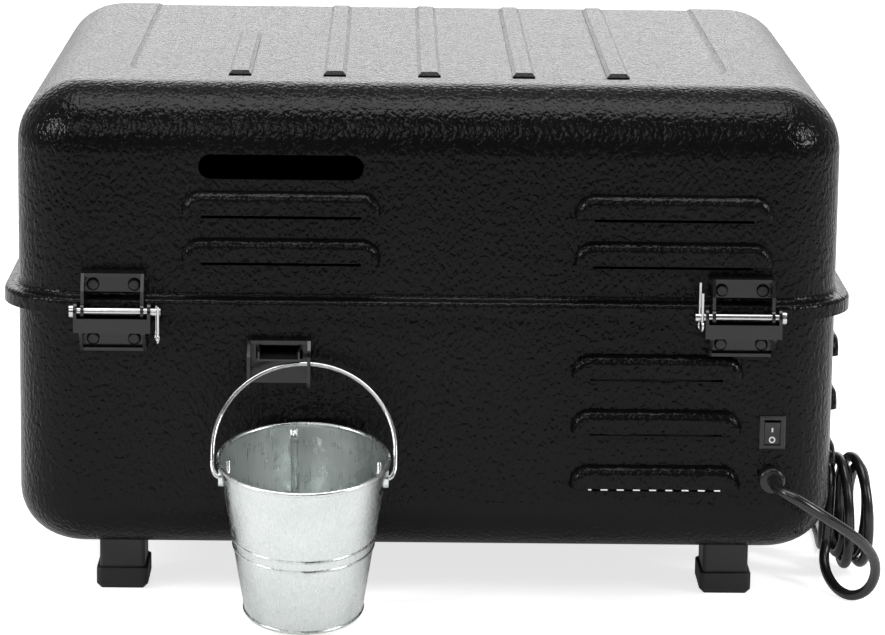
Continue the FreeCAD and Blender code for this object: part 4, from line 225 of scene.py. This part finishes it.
def wire_metal(name, value, low, high, tint=0.0):
    """Plated or drawn metal with a faint drift of tone."""
    m = Nodes(name, Metallic=1.0)
    drift = m.noise(90, 3.0)
    skin = m.noise(1600, 2.0)
    colour = m.colours(drift, (0.3, grey(value * 0.88, tint)), (0.7, grey(value, tint)))
    return m.feed(colour, m.span(drift, 0.3, 0.7, low, high), m.bump(skin, 0.08, 0.0001))


def galvanised():
    """Zinc-coated sheet: soft spangle, cloudy patches and fine drawing lines."""
    m = Nodes("galvanised_sheet", Metallic=1.0)
    spangle = m.cells(190, "F1", 1)
    cloud = m.noise(26, 4.0, 0.6)
    lines = m.noise(60, 3.0, 0.6, 0.0, m.stretched(14, 14, 0.7))
    tone = m.maths("ADD", m.maths("MULTIPLY", cloud, 0.55), m.maths("MULTIPLY", lines, 0.45))
    colour = m.colours(tone, (0.3, (0.57, 0.615, 0.60)), (0.52, (0.68, 0.71, 0.70)),
                       (0.72, (0.78, 0.795, 0.785)))
    value = m.span(spangle, 0.0, 1.0, -0.05, 0.05)
    rough = m.maths("ADD", m.span(tone, 0.3, 0.7, 0.20, 0.36), value)
    normal = m.bump(lines, 0.10, 0.0002)
    normal = m.bump(cloud, 0.10, 0.0005, normal)
    return m.feed(colour, rough, normal)


def mill_steel(name, value, low, high, stretch):
    """Rolled sheet with fine lines along one direction."""
    m = Nodes(name, Metallic=1.0)
    lines = m.noise(120, 3.0, 0.6, 0.0, m.stretched(*stretch))
    drift = m.noise(18, 3.0)
    colour = m.colours(drift, (0.3, grey(value * 0.85, 0.01)), (0.7, grey(value, 0.01)))
    both = m.maths("ADD", m.maths("MULTIPLY", lines, 0.6), m.maths("MULTIPLY", drift, 0.4))
    rough = m.span(both, 0.35, 0.65, low, high)
    return m.feed(colour, rough, m.bump(lines, 0.12, 0.0002))


def heat_tinted():
    """Steel that has been hot: straw and blue tints with dull patches."""
    m = Nodes("heat_tinted_steel", Metallic=1.0)
    drift = m.noise(34, 4.0, 0.6)
    skin = m.noise(700, 2.0)
    colour = m.colours(drift, (0.30, (0.30, 0.31, 0.36)), (0.45, (0.42, 0.36, 0.30)),
                       (0.58, (0.48, 0.43, 0.34)), (0.72, (0.46, 0.46, 0.46)))
    return m.feed(colour, m.span(drift, 0.3, 0.7, 0.5, 0.32), m.bump(skin, 0.15, 0.0002))


def moulded(name, value, low, high, scale=900, strength=0.2, warm=0.0):
    """Moulded plastic or rubber with a fine spark-eroded grain."""
    m = Nodes(name, Metallic=0.0, Specular_IOR_Level=0.45)
    grain = m.noise(scale, 2.0)
    drift = m.noise(45, 3.0)
    colour = m.colours(drift, (0.3, grey(value * 0.85, warm)), (0.7, grey(value * 1.15, warm)))
    return m.feed(colour, m.span(drift, 0.3, 0.7, low, high), m.bump(grain, strength, 0.0002))


def woven_seal():
    m = Nodes("woven_seal", Metallic=0.0)
    along = m.wave(260, "DIAGONAL", 0.6)
    fuzz = m.noise(1400, 2.0)
    both = m.maths("ADD", m.maths("MULTIPLY", along, 0.7), m.maths("MULTIPLY", fuzz, 0.3))
    colour = m.colours(both, (0.2, grey(0.02)), (0.8, grey(0.07, 0.03)))
    return m.feed(colour, m.span(fuzz, 0.3, 0.7, 0.85, 0.98), m.bump(both, 0.5, 0.0006))


def smoked_window():
    m = Nodes("smoked_window", Metallic=0.0, Specular_IOR_Level=0.5)
    drift = m.noise(60, 2.0)
    colour = m.colours(drift, (0.3, (0.012, 0.014, 0.015)), (0.7, (0.018, 0.021, 0.022)))
    return m.feed(colour, m.span(drift, 0.3, 0.7, 0.05, 0.12), m.bump(drift, 0.03, 0.0002))


def cord_jacket():
    """Smooth PVC jacket, faintly waved by the cores that lie inside it."""
    m = Nodes("cord_jacket", Metallic=0.0, Specular_IOR_Level=0.5)
    drift = m.noise(55, 2.0)
    skin = m.noise(900, 2.0)
    colour = m.colours(drift, (0.3, grey(0.008)), (0.7, grey(0.013)))
    normal = m.bump(skin, 0.06, 0.0002)
    normal = m.bump(drift, 0.2, 0.0008, normal)
    return m.feed(colour, m.span(drift, 0.3, 0.7, 0.20, 0.30), normal)


def white_mark():
    m = Nodes("white_mark", Metallic=0.0)
    drift = m.noise(900, 2.0)
    colour = m.colours(drift, (0.3, grey(0.62)), (0.7, grey(0.78)))
    return m.feed(colour, m.span(drift, 0.3, 0.7, 0.4, 0.55), m.bump(drift, 0.05, 0.0001))


finishes = {
    "shell_paint": powder_coat(),
    "bracket_paint": satin_paint("bracket_paint", 0.007, 0.14, 0.24),
    "zinc": wire_metal("zinc_plate", 0.62, 0.16, 0.28),
    "black_screw": satin_paint("black_oxide", 0.012, 0.28, 0.42, 1500, 0.1),
    "leg_paint": satin_paint("leg_paint", 0.017, 0.36, 0.48, 900, 0.14),
    "boot_rubber": moulded("boot_rubber", 0.019, 0.52, 0.66, 1100, 0.18),
    "gasket": woven_seal(),
    "inner_steel": mill_steel("mill_steel", 0.60, 0.26, 0.40, (1, 12, 12)),
    "hot_steel": heat_tinted(),
    "enamel": satin_paint("grate_enamel", 0.012, 0.10, 0.20, 500, 0.10),
    "inner_paint": satin_paint("deck_paint", 0.014, 0.32, 0.44, 600, 0.2),
    "motor_can": mill_steel("motor_can", 0.66, 0.28, 0.42, (12, 1, 12)),
    "panel_plastic": moulded("panel_plastic", 0.016, 0.42, 0.54, 1300, 0.2),
    "window": smoked_window(),
    "knob_plastic": moulded("knob_plastic", 0.014, 0.34, 0.46, 1200, 0.12),
    "jack_metal": mill_steel("satin_steel", 0.68, 0.22, 0.34, (12, 12, 1)),
    "galvanised": galvanised(),
    "switch_plastic": moulded("switch_plastic", 0.020, 0.38, 0.50, 1400, 0.12),
    "rocker_plastic": moulded("rocker_plastic", 0.022, 0.26, 0.36, 1400, 0.06),
    "cord_jacket": cord_jacket(),
    "prong_brass": wire_metal("plated_brass", 0.62, 0.20, 0.32, 0.22),
}
mark_finish = white_mark()
gland_finish = moulded("gland_nylon", 0.010, 0.20, 0.30, 1200, 0.06)
slot_of = {entry["node"]: entry["material_slot"] for entry in frame["record"]["subparts"]}
for name, node in nodes.items():
    node.data.materials.clear()
    finish = gland_finish if name == "cord_bushing" else finishes[slot_of[name]]
    node.data.materials.append(finish)


# Pieces

def add_mesh(name, bm, finish, body):
    mesh = bpy.data.meshes.new(name)
    bm.to_mesh(mesh)
    bm.free()
    mesh.materials.append(finish)
    piece = bpy.data.objects.new(name, mesh)
    bpy.context.scene.collection.objects.link(piece)
    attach(piece, body)
    return piece


def solid_from(loops, closed=False):
    """Closed skin over a row of point loops, with flat ends unless the row closes on itself."""
    bm = bmesh.new()
    rows = [[bm.verts.new(place) for place in loop] for loop in loops]
    count = len(rows[0])
    pairs = list(zip(rows, rows[1:]))
    if closed:
        pairs.append((rows[-1], rows[0]))
    for first, second in pairs:
        for index in range(count):
            after = (index + 1) % count
            bm.faces.new((first[index], first[after], second[after], second[index]))
    if not closed:
        bm.faces.new(rows[0])
        bm.faces.new(list(reversed(rows[-1])))
    bmesh.ops.recalc_face_normals(bm, faces=bm.faces)
    return bm


def smooth(piece):
    for face in piece.data.polygons:
        face.use_smooth = True
    return piece


# Bucket: folded seam, the two bands and the floor's ring, as they show on the inside

BUCKET_TILT = math.radians(11.0)
BUCKET_HEIGHT = 102.4
BUCKET_FOOT_RADIUS = 36.5
BUCKET_RIM_RADIUS = 51.8
BUCKET_SHEET = 0.9
BUCKET_RIM_OUT = 58.2
BUCKET_RIM_Z = 112.8
SEAM_ANGLE = math.radians(-8.2)
SEAM_FOOT = 5.2
SEAM_TOP = 99.2
SEAM_STEPS = 12
SEAM_OUTLINE = (
    (-2.2, 0.3), (-2.2, -0.35), (-1.5, -0.75), (-0.5, -0.7), (0.0, -0.2),
    (0.5, -0.7), (1.5, -0.75), (2.2, -0.35), (2.2, 0.3),
)
BAND_HEIGHTS = (("low", 46.0), ("high", 53.0))
BAND_SINK = 0.25
BAND_THICKNESS = 0.9
FLOOR_RING_HEIGHT = 4.7
FLOOR_RING_RADIUS = 26.0
FLOOR_RING_THICKNESS = 0.8
RING_STEPS = 96
RING_SIDES = 10

bucket_low, bucket_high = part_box("grease_bucket")
bucket_x = (bucket_low.x + bucket_high.x) / 2
bucket_rim = Vector((bucket_x, rear_y - BUCKET_RIM_OUT * MM, BUCKET_RIM_Z * MM))
bucket_up = Vector((0, -math.sin(BUCKET_TILT), math.cos(BUCKET_TILT)))
bucket_back = Vector((0, math.cos(BUCKET_TILT), math.sin(BUCKET_TILT)))


def bucket_place(angle, radius, height):
    """Place in the bucket, by its angle from the rear, radius and height above its foot."""
    out = Vector((1, 0, 0)) * math.sin(angle) + bucket_back * math.cos(angle)
    return bucket_rim + bucket_up * (height - BUCKET_HEIGHT) * MM + out * radius * MM


def inner_radius(height):
    taper = (BUCKET_RIM_RADIUS - BUCKET_FOOT_RADIUS) / BUCKET_HEIGHT
    return BUCKET_FOOT_RADIUS - BUCKET_SHEET + taper * height


def bucket_seam():
    """Folded lap of the bucket's wall, two ridges with a groove between them."""
    loops = []
    for step in range(SEAM_STEPS + 1):
        height = SEAM_FOOT + (SEAM_TOP - SEAM_FOOT) * step / SEAM_STEPS
        radius = inner_radius(height)
        loops.append([bucket_place(SEAM_ANGLE + across / radius, radius + depth, height)
                      for across, depth in SEAM_OUTLINE])
    smooth(add_mesh("bucket_seam", solid_from(loops), finishes["galvanised"], "bucket"))


def bucket_ring(name, height, radius, thickness):
    turns = [2 * math.pi * side / RING_SIDES for side in range(RING_SIDES)]
    loops = []
    for step in range(RING_STEPS):
        angle = 2 * math.pi * step / RING_STEPS
        loops.append([bucket_place(angle, radius + thickness * math.cos(turn),
                                   height + thickness * math.sin(turn)) for turn in turns])
    smooth(add_mesh(name, solid_from(loops, True), finishes["galvanised"], "bucket"))


def bucket_details():
    bucket_seam()
    for name, height in BAND_HEIGHTS:
        bucket_ring("bucket_inner_band_" + name, height, inner_radius(height) + BAND_SINK,
                    BAND_THICKNESS)
    bucket_ring("bucket_floor_ring", FLOOR_RING_HEIGHT, FLOOR_RING_RADIUS, FLOOR_RING_THICKNESS)


# Printed marks: each is a thin block, sunk a little into the face that it is printed on

MARK_SUNK = -0.05
MARK_PROUD = 0.08

# Switch: the marks on the two halves of the rocker

ROCKER_PIVOT_DEPTH = 2.4
ROCKER_Z = 117.8
ROCKER_FACE = -4.0
ROCKER_CREST = 1.2
ROCKER_HALF_HEIGHT = 7.15
ROCKER_SWING = math.radians(7.0)
MARK_ON = ((-0.5, 0.5), (0.5, 0.5), (0.5, 3.5), (-0.5, 3.5))
MARK_OFF_UP = -4.4
MARK_OFF_INNER = 1.2
MARK_OFF_OUTER = 2.0
MARK_OFF_STEPS = 48

rocker_low, rocker_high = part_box("switch_rocker")
rocker_x = (rocker_low.x + rocker_high.x) / 2
rocker_pivot = Vector((rocker_x, rear_y + ROCKER_PIVOT_DEPTH * MM, ROCKER_Z * MM))


def rocker_place(across, up, out):
    """Place on the rocker's face, given across and up from its middle and out of its skin."""
    face = ROCKER_FACE + ROCKER_CREST * (1 - abs(up) / ROCKER_HALF_HEIGHT)
    lean = math.atan2(ROCKER_CREST, ROCKER_HALF_HEIGHT)
    y = face - out * math.cos(lean)
    z = up - math.copysign(out * math.sin(lean), up)
    return rocker_pivot + Vector((
        across * MM,
        (y * math.cos(ROCKER_SWING) - z * math.sin(ROCKER_SWING)) * MM,
        (y * math.sin(ROCKER_SWING) + z * math.cos(ROCKER_SWING)) * MM,
    ))


def rocker_marks():
    bar = [[rocker_place(across, up, out) for across, up in MARK_ON]
           for out in (MARK_SUNK, MARK_PROUD)]
    add_mesh("mark_on", solid_from(bar), mark_finish, "rocker")
    section = ((MARK_OFF_INNER, MARK_SUNK), (MARK_OFF_OUTER, MARK_SUNK),
               (MARK_OFF_OUTER, MARK_PROUD), (MARK_OFF_INNER, MARK_PROUD))
    ring = []
    for step in range(MARK_OFF_STEPS):
        angle = 2 * math.pi * step / MARK_OFF_STEPS
        ring.append([
            rocker_place(radius * math.cos(angle), MARK_OFF_UP + radius * math.sin(angle), out)
            for radius, out in section
        ])
    add_mesh("mark_off", solid_from(ring, True), mark_finish, "rocker")


# Controls: ticks round the knob, with a longer and wider one at each fifth place

TICKS = 11
TICK_FIRST = -135
TICK_STEP = 27
TICK_START = 19.2
TICK_END = 21.6
TICK_HALF_WIDTH = 0.35
LONG_TICK_EVERY = 5
LONG_TICK_END = 22.6
LONG_TICK_HALF_WIDTH = 0.55


def knob_ticks():
    knob_low, knob_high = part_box("control_knob")
    panel_low, panel_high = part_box("controller_box")
    centre = (knob_low + knob_high) / 2
    for step in range(TICKS):
        angle = math.radians(TICK_FIRST + TICK_STEP * step)
        out = Vector((math.sin(angle), math.cos(angle), 0))
        side = Vector((out.y, -out.x, 0))
        long = step % LONG_TICK_EVERY == 0
        reach = LONG_TICK_END if long else TICK_END
        half = LONG_TICK_HALF_WIDTH if long else TICK_HALF_WIDTH
        outline = ((TICK_START, -half), (TICK_START, half), (reach, half), (reach, -half))
        loops = []
        for height in (MARK_SUNK, MARK_PROUD):
            middle = Vector((centre.x, centre.y, panel_high.z + height * MM))
            loops.append([middle + out * along * MM + side * across * MM
                          for along, across in outline])
        add_mesh("knob_tick_%d" % step, solid_from(loops), mark_finish, "base")


# Cord: the same route as the CAD model's. A route point is its distance out from the right wall,
# its distance in from the rear wall, and its height.

LEAD = (
    (-40.9, -7.0, 87.7), (-40.3, -17.0, 87.4), (-35.2, -27.0, 85.6), (-26.5, -31.5, 81.7),
    (-11.7, -29.5, 72.1), (3.8, -22.0, 61.2), (17.2, -10.0, 49.1), (26.2, 3.0, 36.2),
    (28.9, 13.5, 22.2), (25.3, 22.0, 9.5), (16.7, 28.5, 3.4), (8.9, 39.0, 3.9),
    (4.6, 52.0, 7.3), (2.5, 63.5, 11.5), (2.1, 71.8, 18.0),
)
TAIL = (
    (8.5, 136.5, 12.0), (9.3, 147.5, 4.4), (10.1, 165.0, 3.5),
    (11.3, 184.0, 3.6), (10.9, 203.0, 4.4), (11.5, 220.0, 10.4), (11.5, 236.0, 12.5),
)
CORD_RADIUS = 3.3
HANK_TURNS = 4.5
HANK_STEPS_PER_TURN = 12
HANK_OUT = 5.0
HANK_FROM_REAR = 100.0
HANK_Z = 42.0
HANK_HALF_WIDTH = 23.2
HANK_HALF_HEIGHT = 29.0
HANK_GROWTH = 8.2
HANK_HEIGHT_GROWTH = 7.6
HANK_PITCH = 7.7
HANK_YAW = 5.0
HANK_MIDDLE_TURN = 2.5
HANK_EASE = 0.25
HANK_GROWS_FROM = 2.0
HANK_END_RUNS = (6.6, 16.1)


def from_walls(outward, inward, z):
    return Vector((side_x + outward * MM, rear_y + inward * MM, z * MM))


def hank_point(turn):
    """Place on the hank's oval turns, which step outwards to the middle turn and back."""
    layer = (math.hypot(HANK_MIDDLE_TURN, HANK_EASE)
             - math.hypot(turn - HANK_MIDDLE_TURN, HANK_EASE))
    grown = min(1.0, max(0.0, turn - HANK_GROWS_FROM))
    grown = grown * grown * (3 - 2 * grown)
    angle = 2 * math.pi * turn
    across = -(HANK_HALF_WIDTH + HANK_GROWTH * grown) * math.cos(angle)
    up = (HANK_HALF_HEIGHT + HANK_HEIGHT_GROWTH * grown) * math.sin(angle)
    yaw = math.radians(HANK_YAW * layer)
    hub = HANK_HALF_WIDTH + HANK_GROWTH
    return from_walls(HANK_OUT + HANK_PITCH * layer + (hub - across) * math.sin(yaw),
                      HANK_FROM_REAR + hub - (hub - across) * math.cos(yaw), HANK_Z + up)


def hank_end(turn, run):
    heading = (hank_point(turn + 0.001) - hank_point(turn - 0.001)).normalized()
    return hank_point(turn) + heading * run * MM


def cord():
    points = [from_walls(*place) for place in LEAD]
    points += [hank_end(0, -run) for run in reversed(HANK_END_RUNS)]
    steps = int(HANK_TURNS * HANK_STEPS_PER_TURN)
    points += [hank_point(HANK_TURNS * step / steps) for step in range(steps + 1)]
    points += [hank_end(HANK_TURNS, run) for run in HANK_END_RUNS]
    points += [from_walls(*place) for place in TAIL]
    curve = bpy.data.curves.new("power_cord", "CURVE")
    curve.dimensions = "3D"
    curve.bevel_depth = CORD_RADIUS * MM
    curve.bevel_resolution = 6
    curve.resolution_u = 8
    curve.use_fill_caps = True
    spline = curve.splines.new("NURBS")
    spline.points.add(len(points) - 1)
    for spot, place in zip(spline.points, points):
        spot.co = (*place, 1)
    spline.order_u = 3
    spline.use_endpoint_u = True
    curve.materials.append(finishes["cord_jacket"])
    piece = bpy.data.objects.new("power_cord", curve)
    bpy.context.scene.collection.objects.link(piece)
    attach(piece, "base")
    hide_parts("cord_lead", "cord_hank", "cord_tail")


# Stage, in metres

FLOOR_REACH = 15
FLOOR_GREY = 0.8
FLOOR_GLOW_SEEN = 0.75
FLOOR_GLOW_MIRRORED = 0.2
WORLD_FRONT = 0.12
WORLD_BACK = 0.5


def floor():
    """Pale floor that takes the shadow, and that the metal shows more weakly than the camera."""
    bm = bmesh.new()
    corners = [(-FLOOR_REACH, -FLOOR_REACH, 0), (FLOOR_REACH, -FLOOR_REACH, 0),
               (FLOOR_REACH, FLOOR_REACH, 0), (-FLOOR_REACH, FLOOR_REACH, 0)]
    bm.faces.new([bm.verts.new(corner) for corner in corners])
    mesh = bpy.data.meshes.new("floor")
    bm.to_mesh(mesh)
    bm.free()
    piece = bpy.data.objects.new("floor", mesh)
    bpy.context.scene.collection.objects.link(piece)
    material = bpy.data.materials.new("pale_floor")
    material.use_nodes = True
    tree = material.node_tree
    tree.nodes.clear()
    output = tree.nodes.new("ShaderNodeOutputMaterial")
    diffuse = tree.nodes.new("ShaderNodeBsdfDiffuse")
    diffuse.inputs["Color"].default_value = (*grey(FLOOR_GREY), 1)
    glow = tree.nodes.new("ShaderNodeEmission")
    path = tree.nodes.new("ShaderNodeLightPath")
    share = tree.nodes.new("ShaderNodeMath")
    share.operation = "MULTIPLY"
    share.inputs[1].default_value = FLOOR_GLOW_SEEN
    seen = tree.nodes.new("ShaderNodeMath")
    seen.operation = "MAXIMUM"
    also = tree.nodes.new("ShaderNodeMath")
    also.operation = "MULTIPLY"
    also.inputs[1].default_value = FLOOR_GLOW_MIRRORED
    gloss = tree.nodes.new("ShaderNodeMath")
    gloss.operation = "MAXIMUM"
    total = tree.nodes.new("ShaderNodeAddShader")
    link = tree.links.new
    link(path.outputs["Is Glossy Ray"], gloss.inputs[0])
    link(path.outputs["Is Transmission Ray"], gloss.inputs[1])
    link(gloss.outputs[0], also.inputs[0])
    link(path.outputs["Is Camera Ray"], seen.inputs[0])
    link(also.outputs[0], seen.inputs[1])
    link(seen.outputs[0], share.inputs[0])
    link(share.outputs[0], glow.inputs["Strength"])
    link(diffuse.outputs[0], total.inputs[0])
    link(glow.outputs[0], total.inputs[1])
    link(total.outputs[0], output.inputs["Surface"])
    mesh.materials.append(material)


def lamp(name, place, target, width, height, power):
    data = bpy.data.lights.new(name, "AREA")
    data.shape = "RECTANGLE"
    data.size = width
    data.size_y = height
    data.energy = power
    light = bpy.data.objects.new(name, data)
    bpy.context.scene.collection.objects.link(light)
    light.location = place
    aim = Vector(target) - Vector(place)
    light.rotation_mode = "QUATERNION"
    light.rotation_quaternion = aim.to_track_quat("-Z", "Y")
    light.visible_camera = False


def studio():
    """White backdrop for the camera, and for the object a dim room that is lighter behind it."""
    world = bpy.data.worlds.new("studio")
    bpy.context.scene.world = world
    world.use_nodes = True
    tree = world.node_tree
    tree.nodes.clear()
    link = tree.links.new
    output = tree.nodes.new("ShaderNodeOutputWorld")
    path = tree.nodes.new("ShaderNodeLightPath")
    coord = tree.nodes.new("ShaderNodeTexCoord")
    split = tree.nodes.new("ShaderNodeSeparateXYZ")
    back = tree.nodes.new("ShaderNodeMapRange")
    back.inputs["From Min"].default_value = -0.5
    back.inputs["From Max"].default_value = 0.7
    back.inputs["To Min"].default_value = WORLD_FRONT
    back.inputs["To Max"].default_value = WORLD_BACK
    around = tree.nodes.new("ShaderNodeBackground")
    seen = tree.nodes.new("ShaderNodeBackground")
    mix = tree.nodes.new("ShaderNodeMixShader")
    link(coord.outputs["Generated"], split.inputs[0])
    link(split.outputs["Y"], back.inputs["Value"])
    link(back.outputs[0], around.inputs["Strength"])
    link(path.outputs["Is Camera Ray"], mix.inputs[0])
    link(around.outputs[0], mix.inputs[1])
    link(seen.outputs[0], mix.inputs[2])
    link(mix.outputs[0], output.inputs["Surface"])
    around.inputs["Color"].default_value = (1, 1, 1, 1)
    seen.inputs["Color"].default_value = (1, 1, 1, 1)
    middle = (0, centre_y, 0.15)
    lamp("back_softbox", (0, 3.2, 1.25), (0, centre_y, 0.3), 4.4, 1.7, 38)
    lamp("top_softbox", (0, centre_y - 0.3, 2.3), middle, 2.2, 1.2, 38)
    lamp("left_softbox", (-2.1, -1.2, 1.3), middle, 0.45, 0.9, 28)
    lamp("right_softbox", (2.1, -1.2, 1.3), middle, 0.45, 0.9, 28)
    lamp("front_softbox", (-0.8, -2.6, 2.1), middle, 1.6, 1.0, 14)


photo_camera()
cord()
bucket_details()
rocker_marks()
knob_ticks()
floor()
studio()
bpy.context.scene.view_settings.view_transform = "Standard"
